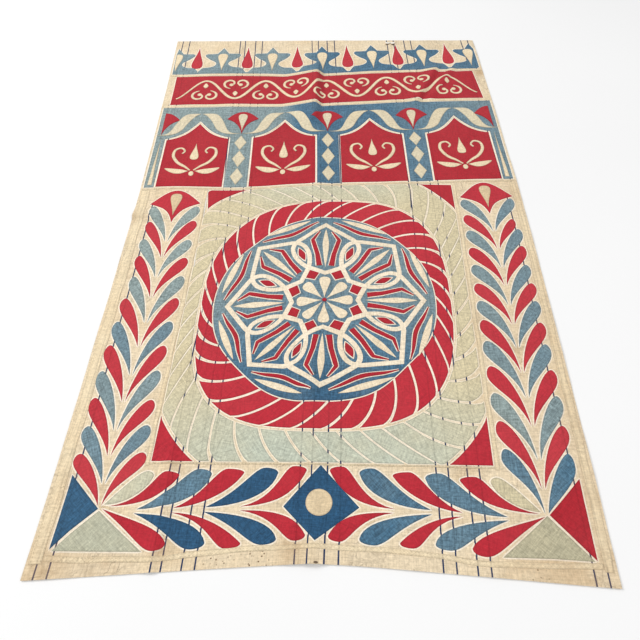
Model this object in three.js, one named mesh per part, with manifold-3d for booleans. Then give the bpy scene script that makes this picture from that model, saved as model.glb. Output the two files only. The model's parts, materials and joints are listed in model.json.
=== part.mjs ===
// Applique tent panel laid flat: four sewn lengths of ground cloth with cut pieces on top, in millimetres.
// X runs across the panel, +Y towards its head edge, +Z up from the floor it lies on.
import * as THREE from "three";
import Module from "manifold-3d";

const wasm = await Module();
wasm.setup();
const { Manifold, Mesh: SolidMesh } = wasm;

// Cloth sizes.
const PANEL_WIDTH = 1600;
const HEAD_V = 1332;
const HEM_V = -1320;
const LENGTHS = 4;
const SEAM_GAP = 0.3;
const GROUND_THICKNESS = 1.6;
const PIECE_THICKNESS = 1.0;
const LAYER_GAP = 0.3;
const STEP_ALONG_EDGE = 70;
const CURVE_STEPS = 4;

// Rows of the pattern, from the head edge down.
const CREST = { foot: 1042, base: 1098, tip: 1276, pitch: 262, shift: -15, halfWidth: 788 };
const BAND = { foot: 790, head: 1020, halfWidth: 762 };
const ARCADE = { foot: 228, head: 766, halfWidth: 788, pitch: 398 };
const NICHE = { foot: 232, shoulder: 528, peak: 638, halfWidth: 146, outline: 8, crown: 20 };
const RIBBON = { low: 560, high: 712, thick: 40 };
const ARCADE_TULIP = { tip: 566, top: 716, halfWidth: 63 };
const FIELD = { centreU: 0, centreV: -390, boxV: -392, halfWidth: 504, halfHeight: 592, corner: 185 };
const RED_RING = { centreU: -4, halfWidth: 456, halfHeight: 500, headPower: 2.3, footPower: 2.8 };
const DISC_RADIUS = 401;
const STRAP_WIDTH = 15;
const STAR_POINTS = 8;
const SPANDREL_LEG = 185;
const PIECE_GAP = 4;
const CREAM_GAP = 11;
const SIDE_STEM = 648;
const BORDER_TULIP = { tip: 28, top: 200, halfWidth: 100, tips: 0.6 };
const LOZENGE = { centreV: -1127, halfWidth: 109, halfHeight: 121, eye: 39, eyeHeight: 45 };

// How the cloth lies: the sideways bow of its middle line at each station along the panel.
const BOW = [
  { at: -1320, value: -1 },
  { at: -1000, value: 8 },
  { at: -600, value: 14 },
  { at: -100, value: 20 },
  { at: 200, value: 20 },
  { at: 740, value: 10 },
  { at: 1000, value: 4 },
  { at: 1332, value: -8 },
];

// The hem arches up in the middle; the arch dies out towards the field.
const ARCH = [
  { at: -1320, value: 50 },
  { at: -1260, value: 41 },
  { at: -1130, value: 19 },
  { at: -1000, value: 5 },
  { at: -900, value: 0 },
  { at: 1332, value: 0 },
];

// The cloth on both sides of the head fold is drawn a little towards the hem.
const DRAWN = { u: -90, v: 950, halfU: 430, halfV: 400, shift: -20 };

// The rows of pattern were sewn on a little askew: rise per unit of width at each station.
const ASKEW = [
  { at: -1320, value: 0 },
  { at: -1130, value: -0.005 },
  { at: -990, value: -0.004 },
  { at: -700, value: 0.01 },
  { at: -390, value: 0.022 },
  { at: 230, value: 0.036 },
  { at: 770, value: 0.037 },
  { at: 1000, value: 0.032 },
  { at: 1332, value: 0.028 },
];

// Folds that stand up from the floor, each along a straight run, lowest at its ends.
const FOLDS = [
  { name: "head fold", fromX: -42, fromY: 640, toX: -40, toY: 1230, rise: 25, halfWidth: 72 },
  { name: "head edge", fromX: -38, fromY: 1040, toX: -14, toY: 1560, rise: 9, halfWidth: 80 },
  { name: "right slant", fromX: 610, fromY: 1110, toX: 448, toY: 750, rise: 11, halfWidth: 62 },
  { name: "mid crease", fromX: -18, fromY: 640, toX: -24, toY: -420, rise: 5, halfWidth: 55 },
  { name: "lower crease", fromX: -22, fromY: -440, toX: -30, toY: -900, rise: 7, halfWidth: 62 },
  { name: "hem crease", fromX: -30, fromY: -920, toX: -20, toY: -1480, rise: 8, halfWidth: 52 },
  { name: "left crease", fromX: -940, fromY: 30, toX: -620, toY: 8, rise: 6, halfWidth: 40 },
];

// Grid stations: closer together where the folds are.
const SEAMS = [-400, 0, 400];
const SEAM_SIDES = SEAMS.flatMap((u) => [u - SEAM_GAP / 2, u + SEAM_GAP / 2]);
const ACROSS = [
  -800, -705, -610, -505, -300, -205, -122, -96, -70, -44, -18,
  22, 52, 140, 225, 310, 437, 480, 523, 566, 610, 660, 730, 800,
  ...SEAM_SIDES,
].sort((a, b) => a - b);
const ALONG = [
  -1320, -1261, -1195, -1068, -947, -803, -655, -507, -323, -169, -24, 17, 59, 181,
  331, 481, 611, 671, 719, 767, 821, 875, 929, 983, 1037, 1101, 1163, 1221, 1281, 1332,
];

// A smooth curve through the rows of a table, read at one station.
function follow(rows, at) {
  const last = rows.length - 1;
  let k = 0;
  while (k < last - 1 && at > rows[k + 1].at) k += 1;
  const slope = (i) => {
    const before = rows[Math.max(i - 1, 0)];
    const after = rows[Math.min(i + 1, last)];
    return (after.value - before.value) / (after.at - before.at);
  };
  const span = rows[k + 1].at - rows[k].at;
  const t = THREE.MathUtils.clamp((at - rows[k].at) / span, 0, 1);
  const rest = 1 - t;
  return rows[k].value * (1 + 2 * t) * rest * rest
    + rows[k + 1].value * (3 - 2 * t) * t * t
    + span * t * rest * (slope(k) * rest - slope(k + 1) * t);
}

// A smooth swell: 1 in the middle, 0 from one half width outwards.
function swell(t) {
  return Math.abs(t) < 1 ? (1 - t * t) ** 2 : 0;
}

// Where a point of the flat cloth comes to lie.
function lay(u, v) {
  const side = Math.hypot((2 * u) / PANEL_WIDTH, 0.12);
  const peak = Math.max(0, (1 - side) / 0.88);
  const drawn = DRAWN.shift * swell((u - DRAWN.u) / DRAWN.halfU) * swell((v - DRAWN.v) / DRAWN.halfV);
  return new THREE.Vector2(u + follow(BOW, v), v + follow(ARCH, v) * peak + drawn);
}

// Where a point of the pattern comes to lie, with the skew of the sewing.
function layPattern(u, v) {
  return lay(u, v + follow(ASKEW, v) * u);
}

// Height of the cloth's underside above the floor.
function foldHeight(x, y) {
  let height = 0;
  for (const fold of FOLDS) {
    const runX = fold.toX - fold.fromX;
    const runY = fold.toY - fold.fromY;
    const length = Math.hypot(runX, runY);
    const t = ((x - fold.fromX) * runX + (y - fold.fromY) * runY) / (length * length);
    const off = ((x - fold.fromX) * runY - (y - fold.fromY) * runX) / (length * fold.halfWidth);
    if (t <= 0 || t >= 1) continue;
    height += fold.rise * (1 - (2 * t - 1) ** 4) * swell(off);
  }
  return height;
}

// A closed sheet over a grid of stations, lifted clear of the cloth below it.
function clothSheet(across, along, lift, thickness) {
  const columns = across.length;
  const rows = along.length;
  const points = [];
  for (const level of [lift, lift + thickness]) {
    for (const v of along) {
      for (const u of across) {
        const p = lay(u, v);
        points.push(p.x, p.y, foldHeight(p.x, p.y) + level);
      }
    }
  }
  const at = (side, row, column) => (side * rows + row) * columns + column;
  const faces = [];
  const quad = (a, b, c, d) => faces.push(a, b, c, a, c, d);
  for (let r = 0; r < rows - 1; r += 1) {
    for (let c = 0; c < columns - 1; c += 1) {
      quad(at(1, r, c), at(1, r, c + 1), at(1, r + 1, c + 1), at(1, r + 1, c));
      quad(at(0, r, c), at(0, r + 1, c), at(0, r + 1, c + 1), at(0, r, c + 1));
    }
  }
  for (let c = 0; c < columns - 1; c += 1) {
    quad(at(0, 0, c), at(0, 0, c + 1), at(1, 0, c + 1), at(1, 0, c));
    quad(at(0, rows - 1, c + 1), at(0, rows - 1, c), at(1, rows - 1, c), at(1, rows - 1, c + 1));
  }
  for (let r = 0; r < rows - 1; r += 1) {
    quad(at(0, r + 1, 0), at(0, r, 0), at(1, r, 0), at(1, r + 1, 0));
    quad(at(0, r, columns - 1), at(0, r + 1, columns - 1), at(1, r + 1, columns - 1), at(1, r, columns - 1));
  }
  const geometry = new THREE.BufferGeometry();
  geometry.setAttribute("position", new THREE.Float32BufferAttribute(points, 3));
  geometry.setIndex(faces);
  return geometry;
}

function solidFrom(geometry) {
  return new Manifold(new SolidMesh({
    numProp: 3,
    vertProperties: new Float32Array(geometry.attributes.position.array),
    triVerts: new Uint32Array(geometry.index.array),
  }));
}

function geometryFrom(solid) {
  const mesh = solid.getMesh();
  const geometry = new THREE.BufferGeometry();
  geometry.setAttribute("position", new THREE.BufferAttribute(new Float32Array(mesh.vertProperties), 3));
  geometry.setIndex(new THREE.BufferAttribute(new Uint32Array(mesh.triVerts), 1));
  geometry.computeVertexNormals();
  return geometry;
}

// The points of an outline with its long straight sides divided, so that it follows the lie of the cloth.
function divided(points) {
  const out = [];
  points.forEach((p, i) => {
    const next = points[(i + 1) % points.length];
    const parts = Math.max(1, Math.ceil(p.distanceTo(next) / STEP_ALONG_EDGE));
    for (let k = 0; k < parts; k += 1) out.push(p.clone().lerp(next, k / parts));
  });
  return out;
}

// A tall solid over an outline of the pattern, used to cut a piece out of a layer of cloth.
function cutter(shape) {
  const outline = new THREE.Shape(divided(shape.getPoints(CURVE_STEPS).slice(0, -1)));
  for (const hole of shape.holes) {
    outline.holes.push(new THREE.Path(divided(hole.getPoints(CURVE_STEPS).slice(0, -1))));
  }
  const { shape: edge, holes } = outline.extractPoints(1);
  const rim = THREE.ShapeUtils.isClockWise(edge) ? edge.reverse() : edge;
  const gaps = holes.map((h) => (THREE.ShapeUtils.isClockWise(h) ? h : h.reverse()));
  const caps = THREE.ShapeUtils.triangulateShape(rim, gaps);
  const loops = [rim, ...gaps];
  const flat = loops.flat();
  const points = [];
  for (const z of [-50, 150]) {
    for (const p of flat) {
      const q = layPattern(p.x, p.y);
      points.push(q.x, q.y, z);
    }
  }
  const faces = [];
  const upper = flat.length;
  for (const [a, b, c] of caps) faces.push(a, c, b, a + upper, b + upper, c + upper);
  let start = 0;
  for (const loop of loops) {
    loop.forEach((_, i) => {
      const a = start + i;
      const b = start + ((i + 1) % loop.length);
      faces.push(a, b, b + upper, a, b + upper, a + upper);
    });
    start += loop.length;
  }
  const geometry = new THREE.BufferGeometry();
  geometry.setAttribute("position", new THREE.Float32BufferAttribute(points, 3));
  geometry.setIndex(faces);
  return solidFrom(geometry);
}

// A shape of straight sides through the listed points, closed.
function polygon(points) {
  const shape = new THREE.Shape();
  points.forEach(([u, v], i) => (i ? shape.lineTo(u, v) : shape.moveTo(u, v)));
  shape.closePath();
  return shape;
}

function rectangle(fromU, toU, fromV, toV) {
  return polygon([[fromU, fromV], [toU, fromV], [toU, toV], [fromU, toV]]);
}

// A closed round curve: power 2 gives an ellipse, more gives squarer shoulders at the head or foot.
function roundShape(centreU, centreV, halfWidth, halfHeight, count, headPower = 2, footPower = 2) {
  const points = [];
  for (let i = 0; i < count; i += 1) {
    const turn = (2 * Math.PI * i) / count;
    const power = Math.sin(turn) > 0 ? headPower : footPower;
    const side = Math.sign(Math.cos(turn)) * Math.abs(Math.cos(turn)) ** (2 / power);
    const rise = Math.sign(Math.sin(turn)) * Math.abs(Math.sin(turn)) ** (2 / power);
    points.push([centreU + halfWidth * side, centreV + halfHeight * rise]);
  }
  return polygon(points);
}

// The outer edge of the red ring, grown by a margin for the hole round it.
function ringEdge(grow) {
  const { centreU, halfWidth, halfHeight, headPower, footPower } = RED_RING;
  return roundShape(centreU, FIELD.centreV, halfWidth + grow, halfHeight + grow, 48, headPower, footPower);
}

function discEdge(grow) {
  return roundShape(FIELD.centreU, FIELD.centreV, DISC_RADIUS + grow, DISC_RADIUS + grow, 48);
}

function roundedField(grow) {
  const w = FIELD.halfWidth + grow;
  const h = FIELD.halfHeight + grow;
  const r = FIELD.corner;
  const shape = new THREE.Shape();
  shape.absarc(w - r, FIELD.boxV - h + r, r, -Math.PI / 2, 0);
  shape.absarc(w - r, FIELD.boxV + h - r, r, 0, Math.PI / 2);
  shape.absarc(-w + r, FIELD.boxV + h - r, r, Math.PI / 2, Math.PI);
  shape.absarc(-w + r, FIELD.boxV - h + r, r, Math.PI, 1.5 * Math.PI);
  shape.closePath();
  return shape;
}

// A tulip with its point down; side is -1 or 1 for a half tulip at a border, 0 for a whole one.
function tulip(u, { tip, top, halfWidth, tips = 0.66 }, side = 0) {
  const height = top - tip;
  const wide = tip + tips * height;
  const shape = new THREE.Shape();
  shape.moveTo(u, tip);
  if (side >= 0) {
    const w = halfWidth;
    shape.bezierCurveTo(u + 0.2 * w, tip + 0.42 * height, u + 0.55 * w, wide - 0.1 * height, u + w, wide);
    shape.bezierCurveTo(u + 0.68 * w, wide + 0.2 * height, u + 0.36 * w, top, u, top);
  } else {
    shape.lineTo(u, top);
  }
  if (side <= 0) {
    const w = -halfWidth;
    shape.bezierCurveTo(u + 0.36 * w, top, u + 0.68 * w, wide + 0.2 * height, u + w, wide);
    shape.bezierCurveTo(u + 0.55 * w, wide - 0.1 * height, u + 0.2 * w, tip + 0.42 * height, u, tip);
  } else {
    shape.lineTo(u, tip);
  }
  return shape;
}

// A drop with its point up.
function drop(u, { tip, foot, halfWidth }) {
  const height = tip - foot;
  const shape = new THREE.Shape();
  shape.moveTo(u, tip);
  shape.bezierCurveTo(u - 0.3 * halfWidth, tip - 0.42 * height, u - halfWidth, foot + 0.36 * height,
    u - halfWidth, foot + 0.17 * height);
  shape.bezierCurveTo(u - halfWidth, foot + 0.02 * height, u - 0.4 * halfWidth, foot, u, foot);
  shape.bezierCurveTo(u + 0.4 * halfWidth, foot, u + halfWidth, foot + 0.02 * height,
    u + halfWidth, foot + 0.17 * height);
  shape.bezierCurveTo(u + halfWidth, foot + 0.36 * height, u + 0.3 * halfWidth, tip - 0.42 * height, u, tip);
  return shape;
}

// An arched niche with an ogee head, grown by a margin for the hole round it.
function niche(u, grow) {
  const w = NICHE.halfWidth + grow;
  const shoulder = NICHE.shoulder + grow;
  const peak = NICHE.peak + (grow ? NICHE.crown : 0);
  const foot = grow ? ARCADE.foot - 20 : NICHE.foot;
  const shape = new THREE.Shape();
  shape.moveTo(u - w, foot);
  shape.lineTo(u + w, foot);
  shape.lineTo(u + w, shoulder);
  shape.bezierCurveTo(u + 0.5 * w, shoulder + 14, u + 0.3 * w, peak - 62, u, peak);
  shape.bezierCurveTo(u - 0.3 * w, peak - 62, u - 0.5 * w, shoulder + 14, u - w, shoulder);
  shape.closePath();
  return shape;
}

// A ribbon that swings up from one pillar to the crown of the arch and down to the next.
function ribbon(u) {
  const reach = ARCADE.pitch / 2 - 10;
  const { low, high, thick } = RIBBON;
  const shape = new THREE.Shape();
  shape.moveTo(u - reach, low);
  shape.bezierCurveTo(u - 0.48 * reach, low - 2, u - 0.62 * reach, high + 4, u, high);
  shape.bezierCurveTo(u + 0.62 * reach, high + 4, u + 0.48 * reach, low - 2, u + reach, low);
  const inset = (reach - thick) / reach;
  shape.bezierCurveTo(u + 0.4 * reach * inset, low - 8, u + 0.6 * reach * inset, high - 22, u, high - 9);
  shape.bezierCurveTo(u - 0.6 * reach * inset, high - 22, u - 0.4 * reach * inset, low - 8, u - reach, low);
  return shape;
}

// A star on a neck that stands on the crest band.
function crestStar(u) {
  const { base, tip } = CREST;
  const shape = new THREE.Shape();
  shape.moveTo(u - 78, base - 30);
  shape.lineTo(u + 78, base - 30);
  shape.lineTo(u + 74, base - 4);
  shape.bezierCurveTo(u + 44, base + 8, u + 26, base + 18, u + 30, base + 40);
  shape.bezierCurveTo(u + 36, base + 74, u + 62, base + 84, u + 86, base + 104);
  shape.bezierCurveTo(u + 92, base + 112, u + 84, base + 122, u + 70, base + 122);
  shape.bezierCurveTo(u + 50, base + 124, u + 28, base + 132, u, tip);
  shape.bezierCurveTo(u - 28, base + 132, u - 50, base + 124, u - 70, base + 122);
  shape.bezierCurveTo(u - 84, base + 122, u - 92, base + 112, u - 86, base + 104);
  shape.bezierCurveTo(u - 62, base + 84, u - 36, base + 74, u - 30, base + 40);
  shape.bezierCurveTo(u - 26, base + 18, u - 44, base + 8, u - 74, base - 4);
  shape.closePath();
  return shape;
}

// One closed loop of the star strap, pointing up from the middle of the medallion.
function strapLoop() {
  const line = new THREE.Path();
  line.moveTo(0, 119);
  line.lineTo(62, 146);
  line.quadraticCurveTo(110, 182, 120, 226);
  line.quadraticCurveTo(126, 256, 100, 279);
  line.lineTo(0, 368);
  const half = line.getPoints(CURVE_STEPS);
  const other = half.slice(1, -1).reverse().map((p) => new THREE.Vector2(-p.x, p.y));
  return [...half, ...other];
}

// The two edges of a strap of even width along a closed line of points.
function strapShape(points, turn) {
  const count = points.length;
  const edge = (offset) => points.map((p, i) => {
    const before = p.clone().sub(points[(i + count - 1) % count]).normalize();
    const after = points[(i + 1) % count].clone().sub(p).normalize();
    const way = before.clone().add(after).normalize();
    const square = Math.max(0.45, before.dot(way));
    const q = new THREE.Vector2(p.x + (way.y * offset) / square, p.y - (way.x * offset) / square);
    q.rotateAround(new THREE.Vector2(), turn);
    return [q.x + FIELD.centreU, q.y + FIELD.centreV];
  });
  const shape = polygon(edge(STRAP_WIDTH / 2));
  shape.holes.push(polygon(edge(-STRAP_WIDTH / 2)));
  return shape;
}

const COLOURS = {
  cream: new THREE.MeshStandardMaterial({ name: "cream_cotton", color: 0xe1cdaa, roughness: 0.95 }),
  red: new THREE.MeshStandardMaterial({ name: "red_cotton", color: 0xc43242, roughness: 0.9 }),
  blue: new THREE.MeshStandardMaterial({ name: "blue_cotton", color: 0x507d9b, roughness: 0.92 }),
  deep: new THREE.MeshStandardMaterial({ name: "deep_blue_cotton", color: 0x235582, roughness: 0.92 }),
  sage: new THREE.MeshStandardMaterial({ name: "sage_cotton", color: 0xbec3aa, roughness: 0.94 }),
};

const panel = new THREE.Group();
panel.name = "applique_tent_panel";

function add(name, geometry, colour) {
  const mesh = new THREE.Mesh(geometry, COLOURS[colour]);
  mesh.name = name;
  panel.add(mesh);
}

// Ground cloth: four lengths side by side.
const EDGES = [-PANEL_WIDTH / 2, ...SEAMS, PANEL_WIDTH / 2];
for (let k = 0; k < LENGTHS; k += 1) {
  const across = ACROSS.filter((u) => u >= EDGES[k] && u <= EDGES[k + 1]);
  add(`ground_length_${k + 1}`, clothSheet(across, ALONG, 0, GROUND_THICKNESS), "cream");
}

// Two layers of cloth to cut the pieces from: one on the ground, one on the first pieces.
const FIRST_LIFT = GROUND_THICKNESS + LAYER_GAP;
const SECOND_LIFT = FIRST_LIFT + PIECE_THICKNESS + LAYER_GAP;
const LAYERS = [FIRST_LIFT, SECOND_LIFT].map((lift) => (
  solidFrom(clothSheet(ACROSS, ALONG, lift, PIECE_THICKNESS))
));

function addCut(name, solid, colour, layer = 0) {
  add(name, geometryFrom(LAYERS[layer].intersect(solid)), colour);
}

function addPiece(name, shape, colour, layer = 0) {
  addCut(name, cutter(shape), colour, layer);
}

// Cream tapes between the rows and round the borders.
const TAPES = [
  { name: "outer_tape_left", fromU: -792, toU: -756, fromV: -1282, toV: 200 },
  { name: "outer_tape_right", fromU: 756, toU: 792, fromV: -1282, toV: 200 },
  { name: "outer_tape_foot", fromU: -753, toU: 753, fromV: -1282, toV: -1256 },
  { name: "inner_tape_left", fromU: -540, toU: -512, fromV: -1009, toV: 200 },
  { name: "inner_tape_right", fromU: 512, toU: 540, fromV: -1009, toV: 200 },
  { name: "inner_tape_foot", fromU: -509, toU: 509, fromV: -1004, toV: -988 },
  { name: "arcade_tape", fromU: -792, toU: 792, fromV: 205, toV: 224 },
  { name: "band_tape", fromU: -792, toU: 792, fromV: 769, toV: 787 },
  { name: "crest_tape", fromU: -792, toU: 792, fromV: 1023, toV: 1039 },
];
for (const t of TAPES) addPiece(t.name, rectangle(t.fromU, t.toU, t.fromV, t.toV), "cream");

// Crest: a blue band with stars on it and a red drop over each notch.
const DROP = { tip: 1284, foot: 1088, halfWidth: 31 };
const NOTCH = { tip: 1262, foot: 1050, halfWidth: 54 };
const crestBox = cutter(rectangle(-CREST.halfWidth, CREST.halfWidth, CREST.foot, CREST.tip));
let crest = cutter(rectangle(-CREST.halfWidth, CREST.halfWidth, CREST.foot, CREST.base));
for (let k = -3; k <= 3; k += 1) {
  crest = crest.add(cutter(crestStar(k * CREST.pitch + CREST.shift)));
}
for (let k = -3; k < 3; k += 1) {
  const u = (k + 0.5) * CREST.pitch + CREST.shift;
  crest = crest.subtract(cutter(drop(u, NOTCH)));
  addPiece(`crest_drop_${k + 4}`, drop(u, DROP), "red");
}
addCut("crest_band", crest.intersect(crestBox), "blue");

// Red band under the crest.
addPiece("head_band", rectangle(-BAND.halfWidth, BAND.halfWidth, BAND.foot, BAND.head), "red");

// Arcade: a blue cloth with four niches, ribbons over the arches and tulips over the pillars.
let arcade = cutter(rectangle(-ARCADE.halfWidth, ARCADE.halfWidth, ARCADE.foot, ARCADE.head));
for (let k = 0; k < 4; k += 1) {
  const u = (k - 1.5) * ARCADE.pitch;
  arcade = arcade.subtract(cutter(niche(u, NICHE.outline)));
  addPiece(`niche_${k + 1}`, niche(u, 0), "red");
  addPiece(`ribbon_${k + 1}`, ribbon(u), "cream", 1);
}
addCut("arcade_cloth", arcade, "blue");
for (let k = 0; k < 5; k += 1) {
  const side = k === 0 ? 1 : k === 4 ? -1 : 0;
  const u = side ? -side * (ARCADE.halfWidth - 6) : (k - 2) * ARCADE.pitch;
  addPiece(`arcade_tulip_${k + 1}`, tulip(u, ARCADE_TULIP, side), "red", 1);
}

// Field: two rope rings round a disc with an interlaced star.
const sage = roundedField(0);
sage.holes.push(ringEdge(CREAM_GAP));
addPiece("sage_ring", sage, "sage");
const redRing = ringEdge(0);
redRing.holes.push(discEdge(PIECE_GAP));
addPiece("red_ring", redRing, "red");
addPiece("medallion_disc", discEdge(0), "blue");
let strap = null;
for (let k = 0; k < STAR_POINTS; k += 1) {
  const loop = cutter(strapShape(strapLoop(), (2 * Math.PI * k) / STAR_POINTS));
  strap = strap ? strap.add(loop) : loop;
}
addCut("star_strap", strap, "cream", 1);

// Red corners of the field, hollowed by the outer ring.
const fieldCut = cutter(roundedField(CREAM_GAP));
for (const [name, sideU, sideV] of [
  ["spandrel_head_left", -1, 1], ["spandrel_head_right", 1, 1],
  ["spandrel_foot_left", -1, -1], ["spandrel_foot_right", 1, -1],
]) {
  const u = sideU * (FIELD.halfWidth + 1);
  const v = FIELD.boxV + sideV * (FIELD.halfHeight + 1);
  const corner = polygon([[u, v], [u - sideU * SPANDREL_LEG, v], [u, v - sideV * SPANDREL_LEG]]);
  addCut(name, cutter(corner).subtract(fieldCut), "red");
}

// Side borders: a red tulip at the head of each stem.
addPiece("border_tulip_left", tulip(-SIDE_STEM, BORDER_TULIP), "red");
addPiece("border_tulip_right", tulip(SIDE_STEM, BORDER_TULIP), "red");

// Foot border: gussets in the corners and a lozenge with an eye in the middle.
const GUSSETS = [
  { name: "gusset_left_side", colour: "deep", points: [[-750, -1030], [-750, -1246], [-650, -1131]] },
  { name: "gusset_left_foot", colour: "sage", points: [[-650, -1139], [-744, -1250], [-496, -1250]] },
  { name: "gusset_right_side", colour: "red", points: [[750, -1030], [650, -1131], [750, -1246]] },
  { name: "gusset_right_foot", colour: "sage", points: [[650, -1139], [496, -1250], [744, -1250]] },
];
for (const g of GUSSETS) addPiece(g.name, polygon(g.points), g.colour);
addPiece("foot_lozenge", polygon([
  [0, LOZENGE.centreV - LOZENGE.halfHeight], [LOZENGE.halfWidth, LOZENGE.centreV],
  [0, LOZENGE.centreV + LOZENGE.halfHeight], [-LOZENGE.halfWidth, LOZENGE.centreV],
]), "deep");
addPiece("lozenge_eye", roundShape(0, LOZENGE.centreV, LOZENGE.eye, LOZENGE.eyeHeight, 24), "cream", 1);

// The frame's origin is the middle of the panel's footprint, on the floor.
const bounds = new THREE.Box3().setFromObject(panel);
const middle = bounds.getCenter(new THREE.Vector3());
panel.position.set(-middle.x, -middle.y, -bounds.min.z);

export default panel;
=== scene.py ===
"""Applique tent panel: cut cloth sewn on four lengths of ground cloth, laid out on a pale floor."""

import json
import math
from collections import namedtuple

import bpy
import numpy as np
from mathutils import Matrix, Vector
from mathutils.geometry import delaunay_2d_cdt

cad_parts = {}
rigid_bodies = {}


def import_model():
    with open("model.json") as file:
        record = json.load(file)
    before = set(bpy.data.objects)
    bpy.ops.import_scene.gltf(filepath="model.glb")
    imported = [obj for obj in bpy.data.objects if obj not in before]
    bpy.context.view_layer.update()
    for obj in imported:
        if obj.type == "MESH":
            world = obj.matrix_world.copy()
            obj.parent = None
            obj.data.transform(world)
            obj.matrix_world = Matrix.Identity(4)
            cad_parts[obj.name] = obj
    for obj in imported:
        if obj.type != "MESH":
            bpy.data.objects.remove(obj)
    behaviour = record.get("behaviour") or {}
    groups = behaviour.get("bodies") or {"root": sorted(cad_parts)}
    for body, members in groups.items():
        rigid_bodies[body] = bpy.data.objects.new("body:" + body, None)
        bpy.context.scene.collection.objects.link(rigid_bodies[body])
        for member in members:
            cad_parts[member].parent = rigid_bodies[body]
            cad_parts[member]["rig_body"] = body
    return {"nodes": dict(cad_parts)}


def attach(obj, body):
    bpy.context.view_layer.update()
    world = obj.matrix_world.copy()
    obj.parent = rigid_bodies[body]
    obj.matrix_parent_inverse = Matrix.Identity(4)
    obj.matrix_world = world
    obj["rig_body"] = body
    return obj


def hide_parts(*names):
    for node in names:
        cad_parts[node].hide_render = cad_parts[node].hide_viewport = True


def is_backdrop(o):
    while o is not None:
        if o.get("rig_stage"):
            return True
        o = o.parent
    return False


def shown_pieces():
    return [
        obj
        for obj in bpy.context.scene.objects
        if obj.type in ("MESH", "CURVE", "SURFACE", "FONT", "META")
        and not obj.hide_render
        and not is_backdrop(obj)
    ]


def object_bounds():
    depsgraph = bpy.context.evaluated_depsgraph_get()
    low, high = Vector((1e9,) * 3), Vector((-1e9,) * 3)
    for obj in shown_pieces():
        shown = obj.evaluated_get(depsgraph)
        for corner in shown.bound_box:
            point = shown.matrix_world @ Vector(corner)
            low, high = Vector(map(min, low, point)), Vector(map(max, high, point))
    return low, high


bl_info = {
    "name": "Applique Tent Panel",
    "version": (1, 0, 0),
    "blender": (4, 5, 0),
    "location": "View3D > Sidebar > Tent Panel",
    "description": "Lays out a cotton tent panel with its applique, its sewing and a plain stage",
    "category": "Add Mesh",
}

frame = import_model()
CAD_LOW, CAD_HIGH = (tuple(corner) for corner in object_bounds())


def listed(kind, *rows):
    """The rows of a table, each as one of its kind."""
    return tuple(kind(*row) for row in rows)
# Plan of the panel, in millimetres: u across it, v along it from hem to head.
MM = 0.001
HALF_WIDTH = 800
HEAD_V, HEM_V = 1332, -1320
LENGTH_WIDTH = 400
SEAM_GAP = 0.3
STRIPE_INSETS = (28, 64)

CREST = {"foot": 1042, "pitch": 262, "shift": -15, "half": 788, "peak": 1276, "first": 20, "cut": 14}
CREST_DROP = {"tip": 1284, "foot": 1088, "half": 29}
CREST_BUD = {"tip": 1064, "foot": 1220, "half": 26}
CREST_BUD_SHIFTS = {-3: 24, 3: -18}
BAND = {"foot": 790, "head": 1020, "half": 762, "cut": 16}
VINE = {"bay": 151.0, "bays": 4.9, "swing": 72, "leaf_off": 12, "leaf_wide": 1.1}
VINE_WIDTHS = (8, 15, 15, 15, 15, 15, 8)
VINE_LEAF = ((0, 0), (10, 12), (10, 24), (0, 40), (-10, 24), (-10, 12))
VINE_CURL = {"u": 27, "v": 50, "wide": 42, "narrow": 12, "turns": 0.95, "dot": 11}
VINE_CURL_WIDTHS = (5, 12, 13, 11, 9)
ARCADE = {"foot": 217, "head": 766, "half": 788, "pitch": 398}
ARCADE_TULIP = {"tip": 560, "top": 722, "half": 75}
TULIP_DROP = {"tip": 576, "foot": 704, "half": 21}
PILLAR_LOZENGES = ((447, 546, 28), (333, 443, 29), (231, 329, 28))
END_PILLAR = ((757, 231), (775, 231), (769, 400), (765, 536))
PALMETTE_CURL = (
    (7, 330), (30, 352), (62, 378), (84, 418), (80, 454), (56, 464), (42, 446), (50, 430),
)
PALMETTE_CURL_WIDTHS = (6, 12, 13, 12, 9, 7)
PALMETTE_LEAF = ((12, 326), (44, 312), (78, 318), (108, 344), (76, 342), (42, 336))
PALMETTE = {"from_v": 400, "to_v": 396, "growth": 1.12}
NICHE = {"foot": 220, "shoulder": 528, "peak": 638, "half": 142, "outline": 8, "crown": 20}
FIELD = {"u": -6, "v": -389, "box_v": -397, "half_u": 512, "half_v": 597, "lean": 0.0085}
FIELD_MIDDLE = (FIELD["u"], FIELD["v"])
DISC_POINTS, RING_POINTS = 720, 960
CORNER_LEGS = {(1, 1): (149, 172), (-1, 1): (200, 158), (-1, -1): (141, 166), (1, -1): (144, 168)}
CORNER_BOWS = {(1, 1): 0.2, (-1, 1): 0.4, (-1, -1): 0.2, (1, -1): 0.2}
CORNER_TOPS = {(1, 1): (-2, -12), (-1, 1): (-2, -2), (-1, -1): (1, 1), (1, -1): (1, 1)}
RED_RING = {"u": -4, "half_u": 450, "half_v": 494, "strands": 32, "swirl": 12.8, "gap": 8, "phase": 0.0}
RING_POWERS = {(1, 1): 2.78, (-1, 1): 2.42, (-1, -1): 3.3, (1, -1): 2.9}
SAGE_RING = {"strands": 42, "swirl": -9.3, "gap": 7.5, "phase": 0.1, "edging": 3}
DISC_REACH = (396, 392, 385, 397, 402, 401, 385, 394, 401, 407, 402, 413, 401, 404, 389, 401)
CREAM_GAP = 11
LOZENGE = {"v": -1127, "side_v": -1139, "half_u": 109, "half_v": 123, "eye_u": 38.5, "eye_v": 44}
LOZENGE_TIPS = (-14, -6)
EYE_U = -7
SideTulip = namedtuple("SideTulip", "node u tip top half tips")
SIDE_TULIPS = listed(
    SideTulip,
    ("border_tulip_left", -637, 10, 193, 105, 0.575),
    ("border_tulip_right", 655, 20, 198, 110, 0.53),
)
SIDE_DROP = {"tip": 34, "foot": 20, "half": 24}

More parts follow.
